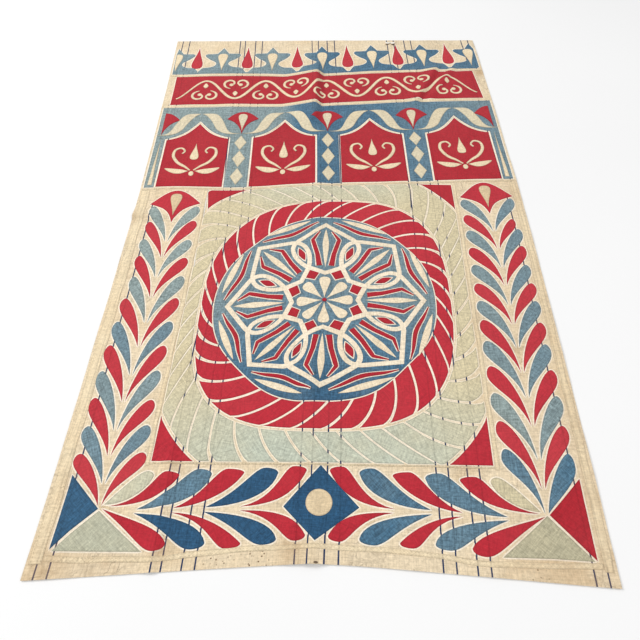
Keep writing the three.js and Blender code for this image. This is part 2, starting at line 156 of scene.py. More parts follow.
Tape = namedtuple("Tape", "node from_u to_u from_v to_v")
OUTER_TAPES = listed(
    Tape,
    ("outer_tape_left", -792, -756, -1282, 200),
    ("outer_tape_right", 767, 792, -1282, 200),
    ("outer_tape_foot", -753, 764, -1282, -1266),
)
FOOT_TAPE_DRIFT = ((0, 8), (70, 6), (330, 0), (400, -7), (470, -10), (620, -4), (760, 7))
INNER_TAPES = listed(
    Tape,
    ("inner_tape_left", -532, -517, -1009, 199),
    ("inner_tape_right", 517, 531, -1009, 199),
    ("inner_tape_foot", -513, 513, -1004, -998),
)
CROSS_TAPES = listed(
    Tape,
    ("arcade_tape", -792, 792, 204, 213),
    ("band_tape", -792, 792, 769, 787),
    ("crest_tape", -792, 792, 1023, 1039),
)
TAPE_SWAYS = ((1.4, 61, 47), (0.9, -29, 23))

# Clean slips beside the left inner tape, the torn lip at the head edge and the painted shadow in the
# small holes.
SLIPS = (
    (-489.5, (180, 130, 70, 18), (4, 5.5, 5.5, 3)),
    (-490, (-145, -180, -220, -262), (2, 4.5, 4.5, 2)),
)
TORN_LIP = ((320, 1312), (331, 1300), (346, 1306), (359, 1300), (374, 1310))
TORN_LIP_WIDTHS = (4, 15, 8, 15, 4)
HOLE_SHADOWS = ((329, 1289, 9, 3.5), (361, 1288, 11, 3.5), (-9, -1266, 6, 3))

# Where the ground cloth is taken up beside a seam or a crease, so that its stripes lie off their places.
Tuck = namedtuple("Tuck", "u side by over")
TUCKS = listed(Tuck, (0, 1, 15, 190), (0, -1, 7, 120), (-446, -1, -9, 600))
Slack = namedtuple("Slack", "u half_u v half_v shift")
SLACKS = listed(
    Slack, (-410, 160, -120, 620, 22), (380, 120, 60, 500, 7), (748, 120, -60, 620, 6),
)

# How the sewn cloth lies: sideways bow, arched hem and skewed sewing, each by its place along the panel.
BOW = ((-1320, -1), (-1000, 8), (-600, 14), (-100, 20), (200, 20), (740, 10), (1000, 4), (1332, -8))
ARCH = ((-1320, 50), (-1260, 41), (-1130, 19), (-1000, 5), (-900, 0), (1332, 0))
ASKEW = (
    (-1320, 0), (-1130, -0.005), (-990, -0.004), (-700, 0.01), (-390, 0.022),
    (230, 0.036), (770, 0.037), (1000, 0.032), (1332, 0.028),
)
ARCH_TOP = 0.12
Drawn = namedtuple("Drawn", "u v half_u half_v shift")
DRAWN = listed(Drawn, (-90, 950, 430, 400, -20), (-370, 205, 300, 150, -13))

# Folds run from one place to the other; each has a reach on its left and on its right.
Fold = namedtuple("Fold", "from_x from_y to_x to_y rise left right pinch")
FOLD_BACK = 8
FOLDS = listed(
    Fold,
    (-52, 590, -40, 1140, 27, 165, 36, 1.0),
    (424, 745, 588, 1115, 15, 70, 22, 1.0),
    (500, 790, 668, 1100, 8, 22, 26, 1.0),
    (-138, -600, -22, -772, 13, 80, 30, 1.0),
    (-24, -420, -18, 640, 5, 55, 55, 0.6),
    (-30, -900, -22, -440, 7, 62, 62, 0.6),
    (-20, -1480, -30, -920, 8, 52, 52, 0.6),
    (-960, 34, -600, 8, 9, 60, 14, 1.0),
    (-456, -1400, -448, -820, 6, 40, 20, 1.0),
    (-76, -1300, -70, -970, 5, 40, 18, 1.0),
)
Wave = namedtuple("Wave", "length bearing rise phase")
WAVES = listed(
    Wave, (410, 75, 0.7, 0.4), (233, 158, 0.45, 2.1), (149, 28, 0.3, 4.0), (97, 112, 0.2, 1.2),
)

# Browned places of the cloth, places where the stripes have worn off and clusters of small spots.
Stain = namedtuple("Stain", "x y reach strength")
STAINS = listed(
    Stain,
    (-745, -1295, 150, 0.42), (-730, -1080, 120, 0.22), (-76, -1232, 55, 0.6),
    (-440, -1243, 42, 0.55), (-440, -995, 48, 0.5), (680, -1290, 260, 0.4),
    (800, -1050, 230, 0.3), (800, -500, 420, 0.22), (790, 1035, 60, 0.6),
    (-790, 18, 60, 0.5), (790, 160, 130, 0.35), (430, -1000, 60, 0.35),
    (800, -880, 220, 0.35), (-600, -1296, 120, 0.3),
)
WORN = listed(Stain, (752, 192, 60, 1), (-716, 152, 62, 1), (780, 930, 130, 1), (-766, 885, 130, 1))
SPOTS = listed(
    Stain,
    (-176, -1266, 60, 1.0), (-245, -1272, 30, 0.8), (-296, -1268, 30, 1.0),
    (590, -1293, 36, 0.7), (265, -1284, 22, 0.8),
)

# Screen colours of stains, yellowed patches, grime, spots and faded cloths, and of the painted shadow in
# a hole.
BROWNED, YELLOWED, GRIMY = (178, 140, 96), (220, 188, 140), (176, 146, 108)
SPOTTED, PAINTED_SHADOW = (112, 82, 54), (74, 56, 48)
AGED_CREAM, AGED_GROUND = (226, 198, 156), (240, 216, 178)

# Depth of a cloth's relief, in metres: small folds, slubs and threads.
RELIEF_DEPTHS = (0.0022, 0.0005, 0.00025)

# How a piece is cut: rows of points along its edge, how near to the edge the others start, where they
# are thinned out, how close the rows inside lie and the smallest triangle that is kept.
EDGE_ROWS = (2.2, 5.5)
NEAREST = 2
THINNED = (5.6, 8.5)
ROW_SHARE = 0.87
SLIVER = 0.02

# How a piece is sewn: width of the painted shade along its edge, its turned edge's two bounds and the
# wave of its pull.
PAINTED_EDGE_SHADE = 6
TURNED_EDGE = (0.5, 4)
PULL_WAVE = 0.62
SMOOTH_ANGLE = 42
GUSSET_BIAS = 38

# Stitches along a tape: how far from its edges and ends, how they wander, sink in and stand up.
STITCH_INSET, STITCH_END = 5.0, 8
STITCH_WANDER, STITCH_WAVE = 0.8, 37
STITCH_SUNK, STITCH_RISE = 0.85, 0.72

# Leaf forms in a box of one by one, from the stem's end at 0, 0: handles of the belly, where the
# rounded end starts on the far side and stops on the top, and handles of the back.
LeafForm = namedtuple("LeafForm", "belly_from belly_to end tip back_from back_to")
LEAF_FORMS = {
    row[0]: LeafForm(*row[1:]) for row in (
        ("inner_left", (0.195, 0.415), (0.94, 0.61), 0.85, 0.84, (0.6, 1.0), (0.09, 0.55)),
        ("inner_right", (0.2, 0.45), (0.93, 0.61), 0.82, 0.83, (0.57, 1.0), (0.07, 0.6)),
        ("outer_left", (0.27, 0.365), (0.95, 0.625), 0.83, 0.84, (0.67, 1.0), (0.115, 0.575)),
        ("outer_right", (0.24, 0.37), (0.97, 0.6), 0.83, 0.87, (0.68, 1.0), (0.1, 0.53)),
        ("last", (0.35, 0.24), (1.03, 0.54), 0.8, 0.87, (0.67, 0.97), (0.14, 0.45)),
        ("bud", (0.42, 0.0), (0.92, 0.42), 0.84, 0.85, (0.7, 1.0), (0.45, 0.66)),
        ("full", (0.45, 0.03), (0.92, 0.3), 0.86, 0.82, (0.66, 1.02), (0.48, 0.38)),
        ("slim", (0.42, 0.05), (0.85, 0.46), 0.89, 0.76, (0.58, 1.03), (0.44, 0.29)),
        ("bent", (0.55, 0.05), (0.83, 0.33), 0.88, 0.82, (0.62, 1.05), (0.57, 0.17)),
        ("low_full", (0.5, 0.04), (0.94, 0.28), 0.8, 0.8, (0.62, 0.98), (0.5, 0.46)),
        ("low_slim", (0.48, 0.0), (0.84, 0.52), 0.84, 0.8, (0.62, 1.0), (0.54, 0.2)),
        ("low_bent", (0.6, -0.04), (0.86, 0.2), 0.8, 0.83, (0.66, 1.0), (0.58, 0.18)),
        ("corner", (0.4, 0.24), (0.9, 0.42), 0.8, 0.83, (0.66, 1.0), (0.52, 0.6)),
    )
}

# Leaves of the side borders: where each pair starts on its stem and where its inner and outer leaf end.
LeafPair = namedtuple("LeafPair", "base inner outer")
LEFT_LEAVES = listed(
    LeafPair,
    (-109, 78, 78), (-191, -3, -9), (-287, -107, -103), (-380, -198, -188), (-490, -287, -290),
    (-589, -387, -390), (-697, -489, -492), (-793, -589, -589), (-890, -685, -689),
    (-971, -791, -785), (-1055, -877, -882), (-1118, -965, -971),
)
RIGHT_LEAVES = listed(
    LeafPair,
    (-51, 119, 127), (-144, 31, 9), (-234, -53, -45), (-317, -142, -133), (-406, -227, -227),
    (-488, -315, -313), (-582, -394, -393), (-677, -477, -486), (-768, -563, -575),
    (-864, -660, -673), (-971, -758, -767), (-1057, -854, -868), (-1126, -944, -957),
)

# Reach of the upper and the lower leaves by side and hand, and single leaves that differ by side, hand
# and row: shorter ones, one of another form, and rows whose blue is deeper or paler.
LEAF_REACH = {(-1, -1): (91, 100), (-1, 1): (105, 104), (1, -1): (109, 109), (1, 1): (103, 108)}
SHORT_LEAVES = {(1, 1, 1): 17, (1, -1, 11): 6, (1, -1, 12): 13, (-1, -1, 11): -6}
OTHER_LEAVES = {(1, 1, 12): "last"}
OTHER_BLUES = {(-1, 6): 0.18, (-1, 10): 0.06, (1, 10): -0.14, (1, 12): 0.22}
UPPER_ROWS = 5
LEAF_INSET = 5
LEFT_STEM = (
    (-1118, -635), (-1000, -641), (-880, -641), (-690, -633), (-490, -625),
    (-380, -626), (-287, -625), (-190, -620), (-100, -619),
)
RIGHT_STEM = (
    (-1126, 645), (-971, 656), (-768, 662), (-580, 667), (-317, 674), (-200, 677), (-40, 677),
)

# Leaves of the foot border: where each starts on its stem, how far it reaches, its form and its dye.
FootLeaf = namedtuple("FootLeaf", "base_x base_y far_x far_y form dye")
FOOT_LEAVES = listed(
    FootLeaf,
    (-622, -1120, -494, -1022, "bud", "sage"), (-606, -1124, -418, -1023, "bent", "red"),
    (-526, -1132, -322, -1014, "full", "blue"), (-420, -1127, -226, -1012, "slim", "red"),
    (-329, -1124, -125, -1008, "full", "deep"), (-228, -1121, -40, -1003, "bent", "red"),
    (-625, -1132, -428, -1243, "corner", "red"), (-531, -1143, -319, -1237, "low_full", "deep"),
    (-425, -1140, -219, -1234, "low_slim", "red"), (-332, -1137, -121, -1223, "low_full", "deep"),
    (-228, -1132, -40, -1212, "low_bent", "red"),
    (628, -1127, 500, -1031, "bud", "sage"), (622, -1132, 411, -1029, "bent", "red"),
    (532, -1142, 310, -1020, "full", "blue"), (406, -1131, 215, -1017, "slim", "red"),
    (318, -1125, 117, -1007, "full", "blue"), (213, -1123, 29, -1002, "bent", "red"),
    (638, -1140, 421, -1247, "corner", "red"), (533, -1151, 321, -1232, "low_full", "blue"),
    (405, -1142, 223, -1228, "low_slim", "red"), (318, -1137, 111, -1221, "low_full", "blue"),
    (210, -1134, 24, -1213, "low_bent", "red"),
)
SLOTS = {"red": "red_cotton", "blue": "blue_cotton", "deep": "deep_blue_cotton", "sage": "sage_cotton"}

Gusset = namedtuple("Gusset", "node dye points")
GUSSETS = listed(
    Gusset,
    ("gusset_left_side", "deep", ((-744, -1040), (-747, -1246), (-706, -1199), (-641, -1139))),
    ("gusset_left_foot", "sage", ((-637, -1145), (-700, -1205), (-740, -1250), (-491, -1263))),
    ("gusset_right_side", "red", ((753, -1029), (647, -1136), (752, -1255))),
    ("gusset_right_foot", "sage", ((640, -1139), (500, -1264), (640, -1257), (746, -1257))),
)

# How far each of the star's eight points lies off a regular star, from the right one on to the head.
STAR_POINTS = 8
STAR_DRAWN = ((3, -13), (12, -3), (-3, 10), (-12, -2), (0, -29), (0, -20), (-12, 3), (12, -12))
STAR_MIDDLE = (-4, -4)
STAR_REACH = 352
STRAP_HALF = 8.4

# Fillers of the star, drawn pointing up: a chevron's leg, a bend along the rim and a small kite.
STAR_CHEVRON = ((22, 152), (30, 206), (49, 276), (23, 318))
STAR_BEND = ((-114, 349), (-70, 345), (0, 335), (70, 345), (114, 349))
STAR_KITE = ((0, 96), (25, 117), (0, 143), (-25, 117))
KITE_MIDDLE, KITE_GROWTH = (0, 118), 1.2

# Half outlines of the crest star and of the ribbon over a niche.
STAR_ARM = (
    (30, 1224), (60, 1222), (82, 1222), (93, 1212), (90, 1198), (68, 1172), (44, 1152),
    (33, 1138), (33, 1122), (46, 1106), (70, 1097), (98, 1093), (112, 1076), (124, 1054),
)
RIBBON_OUTER = (
    (-197, 561), (-155, 567), (-132, 590), (-113, 640), (-90, 688), (-66, 710), (-30, 714), (-2, 712),
)
RIBBON_INNER = (
    (-2, 712), (-22, 700), (-42, 673), (-60, 640), (-81, 594), (-112, 568), (-150, 559), (-197, 561),
)

CAMERA_PLACE = (0.01598909, -1.49554635, 1.54995391)
CAMERA_TURN = (33.14469664, 0.61708013, 0.75904181)
CAMERA_LENS = 29.387
Light = namedtuple("Light", "name place size power")
LIGHTS = listed(
    Light, ("Key light", (-6.8, 2.6, 5.4), 3.2, 480), ("Fill light", (6.0, -4.4, 7.2), 5.0, 250),
)
WORLD_LIGHT = 0.56


def linear(red, green, blue):
    """Linear colour for a screen colour with parts from 0 to 255."""
    return tuple(
        c / 12.92 if c <= 0.04045 else ((c + 0.055) / 1.055) ** 2.4
        for c in (red / 255, green / 255, blue / 255)
    )


def colour_property(name, description, red, green, blue):
    return bpy.props.FloatVectorProperty(
        name=name, description=description, subtype="COLOR", size=3, min=0, max=1,
        default=linear(red, green, blue),
    )


def length_property(name, description, default):
    return bpy.props.FloatProperty(
        name=name, description=description, default=default, min=0, precision=5, unit="LENGTH",
    )


class PanelColours(bpy.types.PropertyGroup):
    """Dyes of the panel's cloths."""

    canvas: colour_property("Canvas", "Unbleached ground cloth", 238, 219, 187)
    cream: colour_property("Cream", "Cream applique cotton", 241, 222, 187)
    red: colour_property("Red", "Red applique cotton", 192, 44, 58)
    red_deep: colour_property("Deep red", "Red cotton of the band and the niches", 178, 36, 48)
    red_faded: colour_property("Faded red", "Red cotton that has faded", 206, 80, 84)
    indigo_pale: colour_property("Pale indigo", "Indigo cotton that has faded most", 150, 164, 160)
    indigo: colour_property("Indigo", "Faded indigo cotton", 80, 118, 142)
    indigo_deep: colour_property("Deep indigo", "Indigo cotton that has kept its dye", 42, 84, 118)
    sage: colour_property("Sage", "Faded green cotton", 196, 202, 184)
    sage_yellowed: colour_property("Yellowed sage", "Green cotton that has yellowed", 217, 204, 168)
    sage_soiled: colour_property("Soiled sage", "Green cotton soiled at the foot corners", 184, 178, 150)
    tan: colour_property("Tan", "Cream cotton that has browned", 222, 198, 160)
    soiled: colour_property("Soiled cream", "Cream cotton greyed by the blue under it", 210, 205, 180)
    # Edging is the ground's cream lightened as a painted highlight along each sewn edge; it is also
    # mixed into the pale cream of some pieces.
    edging: colour_property("Edging", "Clean ground cloth drawn up along the sewn edges", 254, 242, 222)
    stripe: colour_property("Stripe", "Woven stripe of the ground cloth", 38, 56, 92)
    thread: colour_property("Thread", "Sewing thread", 236, 222, 192)
    floor: colour_property("Floor", "Studio floor", 250, 250, 250)


class PanelSizes(bpy.types.PropertyGroup):
    """Sizes of the panel's cloths and sewing."""

    ground_thickness: length_property("Ground thickness", "Thickness of the ground cloth", 0.0016)
    piece_thickness: length_property("Piece thickness", "Thickness of a piece at its turned edge", 0.001)
    layer_gap: length_property("Layer gap", "Air between one layer of cloth and the next", 0.0003)
    ground_step: length_property("Ground step", "Spacing of the ground cloth's points", 0.0095)
    edge_step: length_property("Edge step", "Spacing of the points along a cut edge", 0.007)
    inner_step: length_property("Inner step", "Spacing of the points inside a piece", 0.0105)
    weave: length_property("Weave", "Distance from one thread to the next", 0.0011)
    stitch_length: length_property("Stitch length", "Length of one running stitch", 0.006)
    stitch_pitch: length_property("Stitch pitch", "Distance from one running stitch to the next", 0.0105)
    edging_width: length_property("Edging width", "Ground cloth drawn up along a sewn edge", 0.004)
    thread_width: length_property("Thread width", "Width of the sewing thread", 0.0011)


def smooth_through(stations, at):
    """Smooth value at each place through the listed stations."""
    x, y = np.array(stations, float).T
    before = np.maximum(np.arange(len(x)) - 1, 0)
    after = np.minimum(np.arange(len(x)) + 1, len(x) - 1)
    slope = (y[after] - y[before]) / (x[after] - x[before])
    k = np.clip(np.searchsorted(x, at) - 1, 0, len(x) - 2)
    span = x[k + 1] - x[k]
    t = np.clip((at - x[k]) / span, 0, 1)
    rest = 1 - t
    return (
        y[k] * (1 + 2 * t) * rest**2
        + y[k + 1] * (3 - 2 * t) * t**2
        + span * t * rest * (slope[k] * rest - slope[k + 1] * t)
    )


def swell(t):
    """A smooth swell: 1 in the middle, 0 from one half width outwards."""
    return np.where(np.abs(t) < 1, (1 - np.minimum(t * t, 1)) ** 2, 0)


def pinched(off, reach):
    """A crease: like a swell, with a sharp back."""
    slope = (np.hypot(off, FOLD_BACK) - FOLD_BACK) / (np.hypot(reach, FOLD_BACK) - FOLD_BACK)
    return (1 - np.minimum(slope, 1)) ** 1.2


def lay(flat):
    """Where points of the flat cloth come to lie."""
    u, v = flat.T
    peak = np.maximum(0, (1 - np.hypot(u / HALF_WIDTH, ARCH_TOP)) / (1 - ARCH_TOP))
    drawn = sum(d.shift * swell((u - d.u) / d.half_u) * swell((v - d.v) / d.half_v) for d in DRAWN)
    return np.c_[u + smooth_through(BOW, v), v + smooth_through(ARCH, v) * peak + drawn]


def lay_pattern(flat):
    """Where points of the pattern come to lie, with the skew of the sewing."""
    u, v = flat.T
    return lay(np.c_[u, v + smooth_through(ASKEW, v) * u])


def height(laid):
    """Height of the ground cloth's upper face over the floor."""
    x, y = laid.T
    total = np.full(len(x), sizes().ground_thickness / MM)
    for fold in FOLDS:
        run = np.array((fold.to_x - fold.from_x, fold.to_y - fold.from_y), float)
        length = math.hypot(*run)
        t = ((x - fold.from_x) * run[0] + (y - fold.from_y) * run[1]) / length**2
        off = ((x - fold.from_x) * run[1] - (y - fold.from_y) * run[0]) / length
        reach = np.where(off > 0, fold.right, fold.left)
        profile = (1 - fold.pinch) * swell(off / reach) + fold.pinch * pinched(off, reach)
        total += np.where((t > 0) & (t < 1), fold.rise * (1 - (2 * t - 1) ** 4) * profile, 0)
    for wave in WAVES:
        way = math.radians(wave.bearing)
        along = x * math.cos(way) + y * math.sin(way)
        total += wave.rise * (1 + np.sin(math.tau * along / wave.length + wave.phase))
    return total


def risen(laid, rise=0):
    """Places over the cloth where it lies, in metres."""
    return np.c_[laid - SHIFT, height(laid) + rise] * MM


def threads(u, v):
    """Where on the four lengths the threads were woven that now lie at each place of the panel."""
    woven_at = np.array(u, float)
    for tuck in TUCKS:
        away = (u - tuck.u) * tuck.side
        woven_at += np.where(away >= 0, tuck.by * np.clip(1 - away / tuck.over, 0, 1), 0)
    for slack in SLACKS:
        across, along = swell((u - slack.u) / slack.half_u), swell((v - slack.v) / slack.half_v)
        woven_at -= slack.shift * across * along
    return woven_at


def threads_under(laid):
    """Where the ground cloth's threads were woven that lie under places on the floor."""
    return threads(laid[:, 0] - smooth_through(BOW, laid[:, 1]), laid[:, 1])


def cloth_middle():
    """Middle of the laid cloth's box, which is the frame's origin."""
    across = np.linspace(-HALF_WIDTH, HALF_WIDTH, 81)
    along = np.linspace(HEM_V, HEAD_V, 133)
    rim = [np.c_[across, np.full_like(across, v)] for v in (HEM_V, HEAD_V)]
    rim += [np.c_[np.full_like(along, u), along] for u in (-HALF_WIDTH, HALF_WIDTH)]
    laid = lay(np.concatenate(rim))
    return (laid.min(0) + laid.max(0)) / 2


SHIFT = cloth_middle() - np.array([(CAD_LOW[i] + CAD_HIGH[i]) / 2 / MM for i in (0, 1)])


def points_of(rows):
    return np.array(rows, float)


def unit(ways):
    """The same directions with a length of one."""
    return ways / np.maximum(np.hypot(*ways.T), 1e-9)[:, None]


def left_of(ways):
    """Directions a quarter turn to the left."""
    return np.c_[-ways[:, 1], ways[:, 0]]


def mirrored(half, u=0):
    """The same line on the other side of the middle at u."""
    return half * (-1, 1) + (2 * u, 0)


def whole(half, u=0):
    """A closed outline from its right half."""
    return np.vstack([half, mirrored(half, u)[-2:0:-1]])


def line_of(start, *legs, steps=9):
    """Points along straight legs, and curved ones that have handles."""
    points = [points_of(start)]
    for leg in legs:
        a = points[-1]
        hold = [points_of(p) for p in leg]
        if len(hold) == 1:
            points.append(hold[0])
            continue
        for k in range(1, steps + 1):
            t = k / steps
            if len(hold) == 2:
                points.append(a * (1 - t) ** 2 + 2 * hold[0] * t * (1 - t) + hold[1] * t * t)
            else:
                points.append(
                    a * (1 - t) ** 3 + 3 * hold[0] * t * (1 - t) ** 2
                    + 3 * hold[1] * t * t * (1 - t) + hold[2] * t**3
                )
    return np.array(points)


def through(rows, steps=5):
    """A smooth open line through the listed points."""
    p = points_of(rows)
    p = np.vstack([2 * p[0] - p[1], p, 2 * p[-1] - p[-2]])
    out = []
    for k in range(1, len(p) - 2):
        a, b, c, d = p[k - 1:k + 3]
        for t in np.arange(steps) / steps:
            out.append(0.5 * (
                2 * b + (c - a) * t + (2 * a - 5 * b + 4 * c - d) * t * t
                + (3 * b - a - 3 * c + d) * t**3
            ))
    out.append(p[-2])
    return np.array(out)


def pointed(rows, steps=5):
    """A closed outline, smooth but for a point at its first place."""
    return through(list(rows) + [rows[0]], steps)[:-1]


def placed(outline, at, stretch=(1, 1), turn=0):
    """A copy of an outline, stretched, turned and moved."""
    p = outline * np.array(stretch, float)
    c, s = math.cos(turn), math.sin(turn)
    return p @ np.array(((c, s), (-s, c))) + np.array(at, float)


def strip(line, widths):
    """Outline of a strip of cloth along a line, with its width at each end and between."""
    line = points_of(line)
    run = np.r_[0, np.cumsum(np.hypot(*np.diff(line, axis=0).T))]
    half = np.interp(run / run[-1], np.linspace(0, 1, len(widths)), widths)[:, None] / 2
    side = left_of(unit(np.gradient(line, axis=0)))
    return np.vstack([line + side * half, (line - side * half)[::-1]])


def rectangle(from_u, to_u, from_v, to_v):
    return points_of(((from_u, from_v), (to_u, from_v), (to_u, to_v), (from_u, to_v)))


def ellipse(at, half_u, half_v, count):
    turn = np.arange(count) * math.tau / count
    return np.c_[at[0] + half_u * np.cos(turn), at[1] + half_v * np.sin(turn)]


def tulip(u, tip, top, half, tips=0.66, side=0):
    """A tulip with its point down; side is -1 or 1 for half of one at a border."""
    tall = top - tip
    wide = tip + tips * tall
    right = line_of(
        (u, tip),
        ((u + 0.2 * half, tip + 0.42 * tall), (u + 0.55 * half, wide - 0.1 * tall), (u + half, wide)),
        ((u + 0.68 * half, wide + 0.2 * tall), (u + 0.36 * half, top), (u, top)),
    )
    if side:
        return right if side > 0 else mirrored(right, u)
    return whole(right, u)


def drop(u, tip, foot, half):
    """A drop with its point at the tip."""
    tall = tip - foot
    return whole(line_of(
        (u, foot),
        ((u + 0.4 * half, foot), (u + half, foot + 0.02 * tall), (u + half, foot + 0.17 * tall)),
        ((u + half, foot + 0.36 * tall), (u + 0.3 * half, tip - 0.42 * tall), (u, tip)),
    ), u)


def blunt_leaf(form):
    """A leaf in a box of one by one: pointed at its stem, with a rounded far end."""
    return line_of(
        (0, 0), (form.belly_from, form.belly_to, (1, form.end)),
        ((1.01, 0.52 + form.end / 2), (0.5 + form.tip / 2, 1), (form.tip, 1)),
        (form.back_from, form.back_to, (0, 0)), steps=12,
    )[:-1]


def niche_head(u, grow):
    """Head of a niche from its left foot over the peak to its right foot."""
    w = NICHE["half"] + grow
    shoulder = NICHE["shoulder"] + grow
    peak = NICHE["peak"] + (NICHE["crown"] if grow else 0)
    foot = ARCADE["foot"] if grow else NICHE["foot"]
    return line_of(
        (u - w, foot), ((u - w, shoulder),),
        ((u - 0.5 * w, shoulder + 14), (u - 0.3 * w, peak - 62), (u, peak)),
        ((u + 0.3 * w, peak - 62), (u + 0.5 * w, shoulder + 14), (u + w, shoulder)),
        ((u + w, foot),),
    )


def even_loop(points, count):
    """The same closed line with its points evenly spaced."""
    closed = np.vstack([points, points[:1]])
    run = np.r_[0, np.cumsum(np.hypot(*np.diff(closed, axis=0).T))]
    at = np.arange(count) / count * run[-1]
    return np.c_[np.interp(at, run, closed[:, 0]), np.interp(at, run, closed[:, 1])]


def smooth_round(values, place):
    """Smooth value at each place round a closed list of values; 1 is from one value to the next."""
    stations = np.arange(-2, len(values) + 3)
    return smooth_through(np.c_[stations, np.take(values, stations, mode="wrap")], place)


def from_middle(turn, reach):
    """Points at bearings and distances from the field's middle."""
    return np.c_[FIELD["u"] + reach * np.cos(turn), FIELD["v"] + reach * np.sin(turn)]


def disc_edge(grow):
    """Edge of the hand cut disc, from the right side and on to the left."""
    turn = np.arange(DISC_POINTS) * math.tau / DISC_POINTS
    return from_middle(turn, smooth_round(DISC_REACH, turn / math.tau * len(DISC_REACH)) + grow)


def ring_edge(grow):
    """Outer edge of the red ring, from the right side and on to the left."""
    turn = np.arange(DISC_POINTS) * math.tau / DISC_POINTS
    c, s = np.cos(turn), np.sin(turn)
    power = np.array([RING_POWERS[1 if a >= 0 else -1, 1 if b >= 0 else -1] for a, b in zip(c, s)])
    return even_loop(np.c_[
        RED_RING["u"] + (RED_RING["half_u"] + grow) * np.sign(c) * np.abs(c) ** (2 / power),
        FIELD["v"] + (RED_RING["half_v"] + grow) * np.sign(s) * np.abs(s) ** (2 / power),
    ], RING_POINTS)


def corner_curve(sign_u, sign_v, grow):
    """Cut corner of the sage ring, from its upright side to its level side."""
    w, h = FIELD["half_u"] + grow, FIELD["half_v"] + grow
    leg_u, leg_v = (leg + 0.6 * grow for leg in CORNER_LEGS[sign_u, sign_v])
    a, b, corner = points_of(((w, h - leg_v), (w - leg_u, h), (w, h)))
    middle = (a + b) / 2
    hold = middle + CORNER_BOWS[sign_u, sign_v] * (corner - middle)
    return line_of(a, (hold, b), steps=16) * (sign_u, sign_v) + (0, FIELD["box_v"])


def leaned(points):
    """Points of the field, drawn over to one side towards its head."""
    return points + np.c_[FIELD["lean"] * (points[:, 1] - FIELD["box_v"]), np.zeros(len(points))]


def field_edge(grow):
    """Outer edge of the sage ring, from the right side and on to the left."""
    a, b, c, d = (corner_curve(*sign, grow) for sign in ((1, 1), (-1, 1), (-1, -1), (1, -1)))
    start = points_of([(FIELD["half_u"] + grow, FIELD["box_v"])])
    return even_loop(leaned(np.vstack([start, a, b[::-1], c, d[::-1]])), RING_POINTS)


def edges_of(loops):
    """Where each edge of closed outlines starts and ends."""
    return np.concatenate(loops), np.concatenate([np.roll(loop, -1, 0) for loop in loops])


def inside(points, shapes):
    """Which points lie inside any of the shapes, each an outline with its holes."""
    within = np.zeros(len(points), bool)
    for loops in shapes:
        a, b = edges_of(loops)
        rise = np.where(b[:, 1] == a[:, 1], 1e-9, b[:, 1] - a[:, 1])
        found = []
        for part in np.array_split(points, max(1, len(points) // 3000)):
            y = part[:, 1:2]
            crossed = (a[:, 1] > y) != (b[:, 1] > y)
            at = (b[:, 0] - a[:, 0]) * (y - a[:, 1]) / rise + a[:, 0]
            found.append((crossed & (part[:, :1] < at)).sum(1) % 2 == 1)
        within |= np.concatenate(found)
    return within


def distance(points, a, b):
    """Distance from each point to the nearest of the edges from a to b."""
    run = b - a
    square = np.maximum((run**2).sum(1), 1e-12)
    found = []
    for part in np.array_split(points, max(1, len(points) // 2000)):
        off = part[:, None] - a
        t = np.clip((off * run).sum(2) / square, 0, 1)
        found.append(np.hypot(*np.moveaxis(off - t[..., None] * run, 2, 0)).min(1))
    return np.concatenate(found)


def divided_line(line, step):
    """The same open line with its long legs divided."""
    out = []
    for p, q in zip(line[:-1], line[1:]):
        parts = max(1, round(math.dist(p, q) / step))
        out.extend(p + (q - p) * k / parts for k in range(parts))
    return np.vstack([out, line[-1:]])


def divided(loop, step):
    """The same outline with its long sides divided."""
    return divided_line(np.vstack([loop, loop[:1]]), step)[:-1]


def cut(shapes, edge_step, inner_step):
    """Triangles of a piece of cloth cut to outlines, with each point's distance from the cut edge."""
    shapes = [[divided(loop, edge_step) for loop in loops] for loops in shapes]
    loops = [loop for shape in shapes for loop in shape]
    a, b = edges_of(loops)
    low, high = a.min(0), a.max(0)
    columns = np.arange(low[0], high[0], inner_step)
    rows = np.arange(low[1], high[1], inner_step * ROW_SHARE)
    extra = [np.array([
        (x + (inner_step / 2 if k % 2 else 0), y) for k, y in enumerate(rows) for x in columns
    ]).reshape(-1, 2)]
    for loop in loops:
        side = left_of(unit(np.roll(loop, -1, 0) - np.roll(loop, 1, 0)))
        for depth in EDGE_ROWS:
            extra += [loop + side * depth, loop - side * depth]
    extra = np.concatenate(extra)
    extra = extra[inside(extra, shapes)]
    if len(extra):
        away = distance(extra, a, b)
        kept = (away < THINNED[0]) | (away > THINNED[1]) | (np.arange(len(extra)) % 2 == 0)
        extra = extra[(away > NEAREST) & kept]
    edges, start = [], 0
    for loop in loops:
        n = len(loop)
        edges += [(start + i, start + (i + 1) % n) for i in range(n)]
        start += n
    found = delaunay_2d_cdt([Vector(p) for p in np.vstack([a, extra])], edges, [], 0, 1e-3)
    flat = np.array([tuple(p) for p in found[0]])
    faces = np.array([f for f in found[2] if len(f) == 3])
    p, q, r = (flat[faces[:, k]] for k in range(3))
    area = (q - p)[:, 0] * (r - p)[:, 1] - (q - p)[:, 1] * (r - p)[:, 0]
    kept = inside(flat[faces].mean(1), shapes) & (np.abs(area) > SLIVER)
    faces, turned = faces[kept], area[kept] < 0
    faces[turned] = faces[turned][:, ::-1]
    used, faces = np.unique(faces, return_inverse=True)
    faces = faces.reshape(-1, 3)
    flat = flat[used]
    pairs = np.sort(np.concatenate([faces[:, (0, 1)], faces[:, (1, 2)], faces[:, (2, 0)]]), 1)
    pairs, times = np.unique(pairs, axis=0, return_counts=True)
    rim = pairs[times == 1]
    return flat, faces, distance(flat, flat[rim[:, 0]], flat[rim[:, 1]])


def colours():
    return bpy.context.scene.panel_colours


def sizes():
    return bpy.context.scene.panel_sizes


def blended(a, b, t):
    """A colour between two colours; t may be a list of places."""
    a, b = np.array(a)[:3], np.array(b)[:3]
    return a + (b - a) * np.clip(np.asarray(t, float), 0, 1)[..., None]


